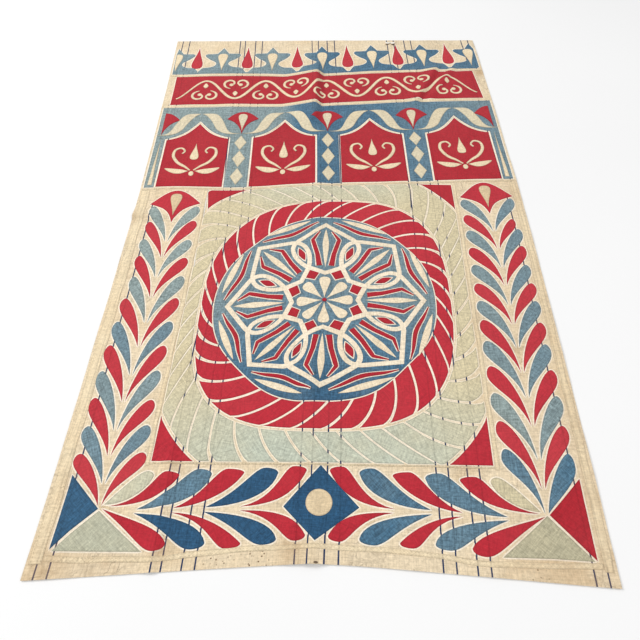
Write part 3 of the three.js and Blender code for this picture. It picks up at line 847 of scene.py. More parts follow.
def indigo(depth):
    """Indigo from its palest, 0, through its usual shade, 0.5, to its deepest, 1."""
    depth = np.asarray(depth, float)
    c = colours()
    pale = blended(c.indigo_pale, c.indigo, depth * 2)
    deep = blended(c.indigo, c.indigo_deep, depth * 2 - 1)
    return np.where((depth < 0.5)[..., None], pale, deep)


def red_dye(fade=0.0):
    """Red from the deepest, -1, through its usual shade, 0, to the most faded, 1."""
    c = colours()
    return blended(c.red, c.red_faded, fade) if fade > 0 else blended(c.red, c.red_deep, -fade)


def node(tree, kind, inputs=None, **settings):
    """A shader node with its settings made and its sockets filled or linked."""
    made = tree.nodes.new(kind)
    for name, value in settings.items():
        setattr(made, name, value)
    for name, value in (inputs or {}).items():
        if isinstance(value, bpy.types.NodeSocket):
            tree.links.new(value, made.inputs[name])
        else:
            made.inputs[name].default_value = value
    return made


def number(tree, operation, *values):
    return node(tree, "ShaderNodeMath", dict(enumerate(values)), operation=operation).outputs[0]


def ranged(tree, value, low, high, to_low, to_high):
    return node(
        tree, "ShaderNodeMapRange",
        {"Value": value, "From Min": low, "From Max": high, "To Min": to_low, "To Max": to_high},
    ).outputs[0]


def grain(tree, place, scale, detail=2.0, roughness=0.5):
    """Soft noise whose scale may differ across and along the cloth."""
    mapped = node(tree, "ShaderNodeMapping", {"Vector": place, "Scale": scale}).outputs[0]
    noise = {"Vector": mapped, "Scale": 1.0, "Detail": detail, "Roughness": roughness}
    return node(tree, "ShaderNodeTexNoise", noise).outputs["Fac"]


def mixed(tree, amount, a, b, blend="MIX"):
    made = node(tree, "ShaderNodeMix", data_type="RGBA", blend_type=blend, clamp_factor=True)
    for socket, value in ((made.inputs[0], amount), (made.inputs[6], a), (made.inputs[7], b)):
        if isinstance(value, bpy.types.NodeSocket):
            tree.links.new(value, socket)
        elif isinstance(value, (int, float)):
            socket.default_value = value
        else:
            socket.default_value = (*value[:3], 1)
    return made.outputs[2]


def shaded(tree, colour, factor):
    """A colour made lighter or darker by a factor round 1."""
    grey = node(tree, "ShaderNodeCombineColor", dict.fromkeys(("Red", "Green", "Blue"), factor))
    return mixed(tree, 1.0, colour, grey.outputs[0], "MULTIPLY")


def woven(tree, place, pitch):
    """Height of a plain weave: threads that pass over and under each other."""
    wave = {"Vector": place, "Scale": math.tau / 20 / pitch / 2, "Distortion": 0.6, "Detail": 1.0}
    across, along = (
        node(tree, "ShaderNodeTexWave", wave, wave_type="BANDS", bands_direction=way).outputs["Fac"]
        for way in "XY"
    )
    over = number(tree, "MULTIPLY", across, along)
    under = number(tree, "MULTIPLY", *(number(tree, "SUBTRACT", 1.0, way) for way in (across, along)))
    return number(tree, "ADD", over, under)


def finish_cloth(material, tree, colour, weave, streak, crumple, sheen):
    """The shader of a cloth, with its relief of threads, slubs and small creases."""
    below = {}
    for relief, depth in zip((crumple, streak, weave), RELIEF_DEPTHS):
        bump = node(
            tree, "ShaderNodeBump", {"Height": relief, "Strength": 1.0, "Distance": depth, **below},
        )
        below = {"Normal": bump.outputs[0]}
    shader = node(tree, "ShaderNodeBsdfPrincipled", {
        "Base Color": colour, "Roughness": ranged(tree, streak, 0.3, 0.7, 0.8, 0.96), **below,
        "Sheen Weight": sheen, "Sheen Roughness": 0.6, "Specular IOR Level": 0.2,
    })
    tree.links.new(shader.outputs[0], node(tree, "ShaderNodeOutputMaterial").inputs[0])
    return material


def creases(tree, place):
    """Thin lines of fine creases, here and there, most of them along the cloth or across it; they give
    relief and painted shade.
    """
    lines = 0.0
    for scale, width in (((13, 3.2, 1), 0.018), ((3.6, 12, 1), 0.018), ((9, 8, 1), 0.012)):
        level = number(tree, "SUBTRACT", grain(tree, place, scale, 3.0, 0.55), 0.5)
        line = ranged(tree, number(tree, "ABSOLUTE", level), 0.0, width, 1.0, 0.0)
        lines = number(tree, "MAXIMUM", lines, line)
    here = ranged(tree, grain(tree, place, (6, 6, 1), 2.0), 0.42, 0.6, 0.0, 1.0)
    return number(tree, "MULTIPLY", lines, here)


ClothGrain = namedtuple("ClothGrain", "warp streak speck crumple crease")


def cloth_grain(tree, place, fine, coarse, speck, crumple):
    """Noises of a woven cloth: its uneven threads, specks, small folds and creases."""
    warp = grain(tree, place, (fine, coarse, 1), 3.0, 0.6)
    weft = grain(tree, place, (coarse, fine, 1), 3.0, 0.6)
    return ClothGrain(
        warp, number(tree, "MULTIPLY", number(tree, "ADD", warp, weft), 0.5),
        grain(tree, place, (speck, speck, 1), 3.0, 0.7),
        grain(tree, place, (crumple, crumple, 1), 4.0, 0.55), creases(tree, place),
    )


def stripes(tree, across):
    """The woven stripes beside each selvage of the ground cloth."""
    inset = number(tree, "PINGPONG", across, LENGTH_WIDTH * MM / 2)
    near, far = (number(tree, "COMPARE", inset, at * MM, 0.0023) for at in STRIPE_INSETS)
    return number(tree, "MAXIMUM", near, far)


def woven_stripes(tree, across, warp):
    """The stripes with their uneven threads, worn off at the listed places."""
    lines = number(tree, "MULTIPLY", stripes(tree, across), ranged(tree, warp, 0.25, 0.45, 0.7, 1.0))
    for worn in WORN:
        kept = ranged(tree, away_from(tree, worn), worn.reach * MM * 0.85, worn.reach * MM, 0.0, 1.0)
        lines = number(tree, "MULTIPLY", lines, kept)
    return lines


def away_from(tree, stain):
    """Distance on the floor from a stain's middle."""
    place = node(tree, "ShaderNodeTexCoord").outputs["Object"]
    at = ((stain.x - SHIFT[0]) * MM, (stain.y - SHIFT[1]) * MM, 0.0)
    return node(tree, "ShaderNodeVectorMath", {0: place, 1: at}, operation="DISTANCE").outputs["Value"]


def soil(tree, colour, grime):
    """A colour browned at the listed places, where the grime lies thick."""
    amount = 0.0
    for stain in STAINS:
        here = ranged(tree, away_from(tree, stain), 0.0, stain.reach * MM, stain.strength, 0.0)
        amount = number(tree, "MAXIMUM", amount, here)
    amount = number(tree, "MULTIPLY", amount, ranged(tree, grime, 0.3, 0.62, 0.25, 1.0))
    return mixed(tree, amount, colour, linear(*BROWNED))


def new_tree(name):
    material = bpy.data.materials.new(name)
    material.use_nodes = True
    material.node_tree.nodes.clear()
    return material, material.node_tree


def cotton(name, streakiness, fading, faded, soiled=False, striped=False):
    """Dyed cotton: streaked, faded in patches, darker over the ground's stripes, with painted shade
    along its edge and in its fine creases.
    """
    material, tree = new_tree(name)
    place = node(tree, "ShaderNodeUVMap", uv_map="cloth").outputs[0]
    dye = node(tree, "ShaderNodeAttribute", attribute_name="dye")
    thread = node(tree, "ShaderNodeAttribute", attribute_name="thread").outputs["Fac"]
    cloth = cloth_grain(tree, place, 260, 18, 110, 26)
    patch = grain(tree, place, (7, 7, 1), 4.0, 0.6)
    low, high = 1 - streakiness, 1 + streakiness
    colour = mixed(tree, ranged(tree, patch, 0.42, 0.75, 0.0, fading), dye.outputs["Color"], faded)
    for factor in (
        ranged(tree, cloth.streak, 0.38, 0.62, low, high),
        ranged(tree, cloth.speck, 0.32, 0.68, low, high),
        # Painted shade in the fine creases.
        ranged(tree, cloth.crease, 0.0, 1.0, 1.0, 0.9),
        # Painted shade along each piece's cut edge, read from the dye's alpha.
        ranged(tree, dye.outputs["Alpha"], 0.35, 1.0, 1.0, 0.74),
    ):
        colour = shaded(tree, colour, factor)
    if striped:
        colour = mixed(tree, woven_stripes(tree, thread, cloth.warp), colour, colours().stripe)
    else:
        colour = shaded(tree, colour, ranged(tree, stripes(tree, thread), 0.0, 1.0, 1.0, 0.87))
    if soiled:
        colour = soil(tree, colour, cloth.crumple)
    weave = woven(tree, place, sizes().weave)
    relief = number(tree, "ADD", cloth.crumple, number(tree, "MULTIPLY", cloth.crease, 0.35))
    return finish_cloth(material, tree, colour, weave, cloth.streak, relief, 0.06)


def canvas():
    """Unbleached ground cloth with stripes, yellowed patches, creases with painted shade in them and a
    few spots by the hem.
    """
    c = colours()
    material, tree = new_tree("Ground canvas")
    place = node(tree, "ShaderNodeUVMap", uv_map="cloth").outputs[0]
    across = node(tree, "ShaderNodeSeparateXYZ", {"Vector": place}).outputs[0]
    cloth = cloth_grain(tree, place, 240, 14, 100, 24)
    patch = grain(tree, place, (5, 5, 1), 5.0, 0.6)
    grime = grain(tree, place, (19, 19, 1), 5.0, 0.65)
    colour = mixed(tree, ranged(tree, patch, 0.45, 0.75, 0.0, 0.45), c.canvas, linear(*YELLOWED))
    colour = mixed(tree, ranged(tree, grime, 0.56, 0.8, 0.0, 0.35), colour, linear(*GRIMY))
    for factor in (
        ranged(tree, cloth.streak, 0.38, 0.62, 0.84, 1.12),
        ranged(tree, cloth.speck, 0.32, 0.68, 0.84, 1.14),
        # Painted shade in the fine creases.
        ranged(tree, cloth.crease, 0.0, 1.0, 1.0, 0.86),
    ):
        colour = shaded(tree, colour, factor)
    colour = mixed(tree, woven_stripes(tree, across, cloth.warp), colour, c.stripe)
    colour = soil(tree, colour, grime)
    cells = node(tree, "ShaderNodeTexVoronoi", {"Vector": place, "Scale": 85.0, "Randomness": 1.0})
    spotted = 0.0
    for spot in SPOTS:
        reach = spot.reach * MM
        here = ranged(tree, away_from(tree, spot), reach * 0.5, reach, spot.strength, 0.0)
        spotted = number(tree, "MAXIMUM", spotted, here)
    for share in (
        ranged(tree, cloth.speck, 0.4, 0.5, 0.0, 1.0),
        ranged(tree, cells.outputs["Distance"], 0.13, 0.27, 1.0, 0.0),
    ):
        spotted = number(tree, "MULTIPLY", spotted, share)
    colour = mixed(tree, spotted, colour, linear(*SPOTTED))
    weave = woven(tree, place, sizes().weave * 1.2)
    relief = number(tree, "ADD", cloth.crumple, number(tree, "MULTIPLY", cloth.crease, 0.5))
    return finish_cloth(material, tree, colour, weave, cloth.streak, relief, 0.04)


def sewing_thread():
    """Twisted cotton thread."""
    material, tree = new_tree("Sewing thread")
    place = node(tree, "ShaderNodeTexCoord").outputs["Object"]
    twist = grain(tree, place, (900, 900, 900), 2.0)
    colour = shaded(tree, colours().thread, ranged(tree, twist, 0.3, 0.7, 0.85, 1.1))
    return finish_cloth(material, tree, colour, twist, twist, twist, 0.1)


MATERIALS = {}


def material_for(slot):
    """The finished material of one of the record's slots."""
    if slot not in MATERIALS:
        c = colours()
        makers = {
            "ground_canvas": canvas,
            "cream_cotton": lambda: cotton("Cream cotton", 0.14, 0.4, linear(*AGED_CREAM), True),
            "red_cotton": lambda: cotton("Red cotton", 0.12, 0.14, c.red_faded),
            "blue_cotton": lambda: cotton("Indigo cotton", 0.32, 0.22, c.indigo_pale),
            "deep_blue_cotton": lambda: cotton("Deep indigo cotton", 0.26, 0.12, c.indigo),
            "sage_cotton": lambda: cotton("Sage cotton", 0.18, 0.3, c.sage_yellowed),
            "drawn_ground": lambda: cotton("Drawn ground", 0.1, 0.3, linear(*AGED_GROUND), True, True),
            "thread": sewing_thread,
        }
        MATERIALS[slot] = makers[slot]()
    return MATERIALS[slot]


Piece = namedtuple("Piece", "shapes dye laid")
Edging = namedtuple("Edging", "dye width")


def piece(outline, dye, holes=(), laid=False):
    """One cut piece; a laid one is drawn where it lies on the floor, not on the pattern."""
    return Piece([[points_of(outline), *(points_of(h) for h in holes)]], dye, laid)


def numbered(stem, count):
    """Names of like nodes."""
    return [f"{stem}_{k}" for k in range(1, count + 1)]


def select_only(obj):
    bpy.ops.object.select_all(action="DESELECT")
    obj.select_set(True)
    bpy.context.view_layer.objects.active = obj


def settle(obj, material, nodes):
    """Shade a finished piece, tell the frame what it rides on and hide the frame's parts that it stands
    for.
    """
    obj.data.materials.clear()
    obj.data.materials.append(material)
    select_only(obj)
    bpy.ops.object.shade_smooth_by_angle(angle=math.radians(SMOOTH_ANGLE))
    obj.select_set(False)
    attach(obj, "root")
    if nodes:
        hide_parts(*nodes)
    return obj


def linked(name, verts, faces):
    """A new object of points and faces in the scene."""
    mesh = bpy.data.meshes.new(name)
    mesh.from_pydata(verts.tolist(), [], faces)
    obj = bpy.data.objects.new(name, mesh)
    bpy.context.collection.objects.link(obj)
    return obj


def cloth_object(name, verts, faces, places, dyes, woven_at):
    """A new object of cloth, with its place on the weave, its dye and its threads on every point; the
    dye's alpha holds the painted shade near a cut edge.
    """
    faces = np.concatenate(faces)
    obj = linked(name, np.concatenate(verts), faces.tolist())
    uv = obj.data.uv_layers.new(name="cloth")
    uv.data.foreach_set("uv", np.concatenate(places)[faces.ravel()].astype(np.float32).ravel())
    dye = obj.data.attributes.new("dye", "FLOAT_COLOR", "POINT")
    dye.data.foreach_set("color", np.concatenate(dyes).astype(np.float32).ravel())
    thread = obj.data.attributes.new("thread", "FLOAT", "POINT")
    thread.data.foreach_set("value", np.concatenate(woven_at).astype(np.float32))
    return obj


def thicken(obj, thickness, offset, group="", thin=0.0):
    """Give a cloth its thickness, less where the group's weight is less."""
    select_only(obj)
    solid = obj.modifiers.new("Cloth thickness", "SOLIDIFY")
    solid.thickness = thickness
    solid.offset = offset
    solid.vertex_group = group
    solid.thickness_vertex_group = thin
    bpy.ops.object.modifier_apply(modifier=solid.name)


EDGES = []


def grain_turn(k):
    """Degrees by which the threads of a group's k-th piece run off the square."""
    return (k * 47) % 90 - 45 if k else 4


def fullness(flat, depth):
    """Share of a piece's thickness at each point: thin at its edge and puckered by the sewing."""
    pull = 0.5 + 0.5 * np.sin(flat[:, 0] * PULL_WAVE + 1.3) * np.sin(flat[:, 1] * PULL_WAVE)
    within = np.where(depth < TURNED_EDGE[1], 0.92 + 0.08 * pull, 0.8 + 0.05 * pull)
    return np.where(depth < TURNED_EDGE[0], 0.25 * pull, within)


def sew(name, pieces, slot, level=1, nodes=(), thin=0.3, edging=None, bias=0, rim=1):
    """Cut a group of like pieces, lay them on the cloth below and give them a turned, stitched edge with
    painted shade along it, as strong as rim says.
    """
    s = sizes()
    # Ground-level pieces get a pale edging: the ground's cream with painted highlight.
    if edging is None and level == 1:
        edging = Edging(tuple(colours().edging), s.edging_width / MM)
    gap, thick = s.layer_gap / MM, s.piece_thickness / MM
    lift = gap + (level - 1) * (gap + thick)
    verts, faces, places, dyes, weights, woven_at = [], [], [], [], [], []
    start = 0
    for k, part in enumerate(pieces):
        flat, triangles, depth = cut(part.shapes, s.edge_step / MM, s.inner_step / MM)
        if edging:
            for shape in part.shapes:
                EDGES.extend((loop, i == 0, part.laid, edging) for i, loop in enumerate(shape))
        laid = flat if part.laid else lay_pattern(flat)
        verts.append(risen(laid, lift))
        faces.append(triangles + start)
        places.append(placed(flat, (0, 0), turn=math.radians(grain_turn(k) + bias)) * MM)
        under = threads_under(laid) if level == 1 else np.full(len(flat), LENGTH_WIDTH / 4)
        woven_at.append(under * MM)
        dye = part.dye(laid) if callable(part.dye) else np.array(part.dye)
        # Painted shade along the cut edge, kept in the dye's alpha; rim sets its strength.
        edge = rim * np.clip(1 - depth / PAINTED_EDGE_SHADE, 0, 1)
        dyes.append(np.c_[np.broadcast_to(dye, (len(flat), 3)), edge])
        weights.append(fullness(flat, depth))
        start += len(flat)
    obj = cloth_object(name, verts, faces, places, dyes, woven_at)
    group = obj.vertex_groups.new(name="fullness")
    rounded = np.round(np.concatenate(weights) * 20) / 20
    for value in np.unique(rounded):
        group.add(np.flatnonzero(rounded == value).tolist(), float(value), "REPLACE")
    thicken(obj, s.piece_thickness, 1.0, group.name, thin)
    obj.vertex_groups.clear()
    return settle(obj, material_for(slot), nodes)


class PanelOperator(bpy.types.Operator):
    """Shared settings of the panel's operators."""

    bl_options = {"REGISTER", "UNDO"}


class PANEL_OT_ground(PanelOperator):
    """Lay the four striped lengths of ground cloth side by side"""

    bl_idname = "panel.ground"
    bl_label = "Ground Cloth"

    def execute(self, context):
        EDGES.clear()
        s = sizes()
        for k in range(4):
            from_u = -HALF_WIDTH + k * LENGTH_WIDTH + (SEAM_GAP / 2 if k else 0)
            to_u = -HALF_WIDTH + (k + 1) * LENGTH_WIDTH - (SEAM_GAP / 2 if k < 3 else 0)
            bpy.ops.object.select_all(action="DESELECT")
            bpy.ops.mesh.primitive_grid_add(
                x_subdivisions=round((to_u - from_u) * MM / s.ground_step),
                y_subdivisions=round((HEAD_V - HEM_V) * MM / s.ground_step), size=1.0, calc_uvs=True,
            )
            obj = context.active_object
            obj.name = obj.data.name = f"ground_cloth_{k + 1}"
            mesh = obj.data
            grid = np.empty(len(mesh.vertices) * 3)
            mesh.vertices.foreach_get("co", grid)
            share = grid.reshape(-1, 3)[:, :2] + 0.5
            flat = np.c_[
                from_u + share[:, 0] * (to_u - from_u), HEM_V + share[:, 1] * (HEAD_V - HEM_V),
            ]
            mesh.vertices.foreach_set("co", risen(lay(flat)).ravel())
            corner = np.empty(len(mesh.loops), int)
            mesh.loops.foreach_get("vertex_index", corner)
            flat[:, 0] = threads(flat[:, 0], flat[:, 1])
            mesh.uv_layers[0].name = "cloth"
            mesh.uv_layers[0].data.foreach_set("uv", (flat[corner] * MM).astype(np.float32).ravel())
            mesh.update()
            thicken(obj, s.ground_thickness, -1.0)
            settle(obj, material_for("ground_canvas"), [f"ground_length_{k + 1}"])
        return {"FINISHED"}


def upright(tape):
    """Whether a tape runs along the panel, not across it."""
    return tape.to_v - tape.from_v > tape.to_u - tape.from_u


def drifted(tape, points):
    """Points of a tape, moved as it wanders off its straight course."""
    if tape.node == "outer_tape_foot":
        drift = smooth_through(FOOT_TAPE_DRIFT, np.abs(points[:, 0]))
        return points + np.c_[np.zeros(len(points)), drift]
    return leaned(points) if tape.node in ("inner_tape_left", "inner_tape_right") else points


def tape_piece(tape):
    """A tape whose cut edges waver a little."""
    outline = divided(rectangle(tape.from_u, tape.to_u, tape.from_v, tape.to_v), 24)
    sway = sum(rise * np.sin(outline[:, 0] / u + outline[:, 1] / v) for rise, u, v in TAPE_SWAYS)
    outline[:, 0 if upright(tape) else 1] += sway * min(1, (tape.to_v - tape.from_v) / 12)
    return piece(drifted(tape, outline), colours().cream)


class PANEL_OT_tapes(PanelOperator):
    """Sew the cream tapes between the rows and round the borders"""

    bl_idname = "panel.tapes"
    bl_label = "Tapes"

    def execute(self, context):
        groups = {"outer_tapes": OUTER_TAPES, "inner_tapes": INNER_TAPES, "cross_tapes": CROSS_TAPES}
        for name, tapes in groups.items():
            nodes = [t.node for t in tapes]
            sew(name, [tape_piece(t) for t in tapes], "cream_cotton", nodes=nodes, edging=())
        return {"FINISHED"}


class PANEL_OT_slips(PanelOperator):
    """Show clean slips beside the left inner tape, the torn lip at the head edge and the painted shadow
    in the small holes
    """

    bl_idname = "panel.slips"
    bl_label = "Slips"

    def execute(self, context):
        white = blended(colours().edging, (1.0, 1.0, 1.0), 0.4)
        slips = [strip([(x, y) for y in along], widths) for x, along, widths in SLIPS]
        sew("edge_slips", [piece(p, white, laid=True) for p in slips], "cream_cotton", edging=())
        lip = strip(through(TORN_LIP, 6), TORN_LIP_WIDTHS)
        sew("torn_lip", [piece(lip, white, laid=True)], "cream_cotton", level=3, edging=())
        # Dark patches of painted shadow in the small holes.
        holes = [ellipse((x, y), wide, high, 16) for x, y, wide, high in HOLE_SHADOWS]
        holes = [piece(hole, linear(*PAINTED_SHADOW), laid=True) for hole in holes]
        sew("holes", holes, "cream_cotton", thin=0.8, edging=())
        return {"FINISHED"}


def crest_dye(laid):
    """Indigo of the crest, which has faded on its left."""
    return indigo(0.22 + 0.38 * np.clip((laid[:, 0] + 250) / 300, 0, 1))


class PANEL_OT_crest(PanelOperator):
    """Sew the crest of stars along the head, with its red and cream drops"""

    bl_idname = "panel.crest"
    bl_label = "Crest"

    def execute(self, context):
        half = CREST["half"]
        middles = {k: k * CREST["pitch"] + CREST["shift"] for k in range(-3, 4)}
        arm = through(STAR_ARM, 3)
        top = []
        for k, u in middles.items():
            u += CREST["first"] if k == -3 else 0
            top += [mirrored(arm[::-1]) + (u, 0), points_of([(u, CREST["peak"])]), arm + (u, 0)]
        top = np.concatenate(top)
        top[:, 0] = np.clip(top[:, 0], -half, half)
        keep = np.r_[True, np.hypot(*np.diff(top, axis=0).T) > 0.5]
        foot = [(half - CREST["cut"], CREST["foot"]), (-half, CREST["foot"])]
        stars = piece(np.vstack([top[keep], foot]), crest_dye)
        sew("crest_stars", [stars], "blue_cotton", nodes=["crest_band"])
        drops, buds = [], []
        for k, u in middles.items():
            if k < 3:
                drops.append(piece(drop(u + CREST["pitch"] / 2, **CREST_DROP), red_dye(0.1)))
            bud = drop(u + CREST_BUD_SHIFTS.get(k, 0), **CREST_BUD)
            bud[:, 0] = np.clip(bud[:, 0], -half + 3, half - 3)
            buds.append(piece(bud, colours().cream))
        sew("crest_drops", drops, "red_cotton", nodes=numbered("crest_drop", 6))
        sew("crest_buds", buds, "cream_cotton", level=2)
        return {"FINISHED"}


def scroll(centre, start, sense, wide, narrow, turns, count=34):
    """A line that curls inwards from a start angle."""
    t = np.linspace(0, 1, count)
    angle = start + sense * turns * math.tau * t
    radius = wide + (narrow - wide) * t**0.8
    return np.c_[centre[0] + radius * np.cos(angle), centre[1] + radius * np.sin(angle)]


class PANEL_OT_head_band(PanelOperator):
    """Sew the red band under the crest, with its running vine"""

    bl_idname = "panel.head_band"
    bl_label = "Head Band"

    def execute(self, context):
        outline = rectangle(-BAND["half"], BAND["half"], BAND["foot"], BAND["head"])
        outline[2, 0] -= BAND["cut"]
        cloth = piece(divided(outline, 40), red_dye(-1))
        sew("head_band_cloth", [cloth], "red_cotton", nodes=["head_band"])
        middle = (BAND["foot"] + BAND["head"]) / 2
        bay, z = VINE["bay"], VINE_CURL
        u = np.linspace(-VINE["bays"] * bay, VINE["bays"] * bay, 165)
        stem = np.c_[u, middle + VINE["swing"] * np.cos(math.pi * u / bay)]
        vine = [strip(stem, VINE_WIDTHS)]
        leaf = pointed(VINE_LEAF, 4)
        for k in range(-4, 5):
            way = 1 if k % 2 == 0 else -1
            for hand in (-1, 1):
                centre = (k * bay + z["u"] * hand, middle - way * z["v"])
                start, sense = math.radians(90) * way, -way * hand
                curl = scroll(centre, start, sense, z["wide"], z["narrow"], z["turns"])
                vine.append(strip(curl, VINE_CURL_WIDTHS))
                vine.append(ellipse(curl[-1], z["dot"], z["dot"], 18))
            at = (k * bay, middle + way * VINE["leaf_off"])
            vine.append(placed(leaf, at, (VINE["leaf_wide"], way)))
        vine = Piece([[v] for v in vine], colours().cream, False)
        sew("head_band_vine", [vine], "cream_cotton", level=2)
        return {"FINISHED"}


def arcade_dye(laid):
    """Indigo of the arcade, deepest in its middle and most faded on its left."""
    return indigo(np.interp(
        laid[:, 0], (-780, -200, -100, 240, 360, 780), (0.08, 0.16, 0.66, 0.6, 0.46, 0.3),
    ))


def palmette(u):
    """A bud between two pairs of curling leaves, on a short foot."""
    shapes = [drop(u, 492, 392, 17), ellipse((u, 312), 10, 13, 20)]
    curl, leaf = through(PALMETTE_CURL, 5), pointed(PALMETTE_LEAF, 4)
    for side in (-1, 1):
        shapes.append(strip(curl * (side, 1) + (u, 0), PALMETTE_CURL_WIDTHS))
        shapes.append(leaf * (side, 1) + (u, 0))
    middle, place = (u, PALMETTE["from_v"]), (u, PALMETTE["to_v"])
    shapes = [[(shape - middle) * PALMETTE["growth"] + place] for shape in shapes]
    return Piece(shapes, colours().cream, False)


class PANEL_OT_arcade(PanelOperator):
    """Sew the arcade: its blue cloth, red niches, ribbons, tulips, lozenges and palmettes"""

    bl_idname = "panel.arcade"
    bl_label = "Arcade"

    def execute(self, context):
        c = colours()
        aged = blended(c.cream, c.soiled, 0.55)
        middles = [(k - 1.5) * ARCADE["pitch"] for k in range(4)]
        half, foot, head = ARCADE["half"], ARCADE["foot"], ARCADE["head"]
        arches = np.concatenate([niche_head(u, NICHE["outline"]) for u in middles])
        outline = np.vstack([[(-half, foot)], arches, [(half, foot), (half, head), (-half, head)]])
        sew("arcade_ground", [piece(outline, arcade_dye)], "blue_cotton", nodes=["arcade_cloth"])
        niches = [piece(niche_head(u, 0), red_dye(-1)) for u in middles]
        sew("niches", niches, "red_cotton", nodes=numbered("niche", 4))
        ribbon = np.vstack([through(RIBBON_OUTER, 4), through(RIBBON_INNER, 4)[1:-1]])
        ribbons = [piece(r + (u, 0), aged) for u in middles for r in (ribbon, mirrored(ribbon))]
        sew("ribbons", ribbons, "cream_cotton", level=2, nodes=numbered("ribbon", 4))
        tulips, drops = [], []
        for k in range(5):
            side = {0: 1, 4: -1}.get(k, 0)
            u = -side * (half - 18) if side else (k - 2) * ARCADE["pitch"]
            tulips.append(piece(tulip(u, side=side, **ARCADE_TULIP), red_dye(-1)))
            if not side:
                drops.append(piece(drop(u, **TULIP_DROP), aged))
        sew("arcade_tulips", tulips, "red_cotton", level=2, nodes=numbered("arcade_tulip", 5))
        sew("tulip_drops", drops, "cream_cotton", level=3)
        pillars = []
        for k in (-1, 0, 1):
            u = k * ARCADE["pitch"]
            for low, high, wide in PILLAR_LOZENGES:
                mid = (low + high) / 2
                pillars.append(piece(((u, low), (u + wide, mid), (u, high), (u - wide, mid)), aged))
        pillars += [piece(points_of(END_PILLAR) * (side, 1), c.cream) for side in (-1, 1)]
        sew("pillar_lozenges", pillars, "cream_cotton", level=2)
        sew("niche_palmettes", [palmette(u) for u in middles], "cream_cotton", level=2)
        return {"FINISHED"}


def bearings(loop):
    """Bearing and distance of each point of a loop from the field's centre, in order of bearing."""
    off = loop - FIELD_MIDDLE
    turn = np.arctan2(off[:, 1], off[:, 0]) % math.tau
    order = np.argsort(turn)
    return turn[order], np.hypot(*off.T)[order]


def rope(inner, outer, ring, straightness):
    """Outlines of the strands of a rope ring, which lean by its swirl from edge to edge."""
    near, far = bearings(inner), bearings(outer)
    swirl = math.radians(ring["swirl"])

    def between(turn, t):
        a = np.interp(turn % math.tau, *near, period=math.tau)
        b = np.interp(turn % math.tau, *far, period=math.tau)
        return a * (1 - t) + b * t

    def points(turn, t):
        return from_middle(turn, between(turn, t))

    t = np.linspace(0, 1, 20)
    shifted = np.roll(outer, -round(ring["phase"] * len(outer) / ring["strands"]), 0)
    ends = even_loop(shifted, ring["strands"]) - FIELD_MIDDLE
    starts = np.arctan2(ends[:, 1], ends[:, 0])
    lines = []
    for start in starts:
        turn = start + swirl * (1 - t) ** straightness
        reach = between(turn, t)
        rise, run = np.gradient(reach), reach * np.gradient(turn)
        spare = ring["gap"] / 2 / np.maximum(np.abs(rise) / np.hypot(rise, run), 0.3) / reach
        lines.append((turn, spare))
    strands = []
    for k, (turn, spare) in enumerate(lines):
        after, room = lines[(k + 1) % len(lines)]
        after = after + math.tau * np.ceil((turn[-1] - after[-1]) / math.tau)
        edge_a, edge_b = turn + spare, after - room
        share = np.linspace(0, 1, 12)
        far_rim = points(edge_a[-1] + (edge_b[-1] - edge_a[-1]) * share, np.ones(12))[1:-1]
        near_rim = points(edge_a[0] + (edge_b[0] - edge_a[0]) * share, np.zeros(12))[-2:0:-1]
        strands.append(np.vstack([points(edge_a, t), far_rim, points(edge_b, t)[::-1], near_rim]))
    return strands


def sage_dye(laid):
    """Sage that has kept more green towards the foot and yellowed at the sides."""
    cool = np.interp(laid[:, 1], (-950, -850, -700, -400, 50, 180), (1.0, 0.8, 0.4, 0.0, 0.15, 0.55))
    cool = cool - 0.4 * np.clip((np.abs(laid[:, 0]) - 200) / 250, 0, 1)
    return blended(colours().sage_yellowed, colours().sage, cool)


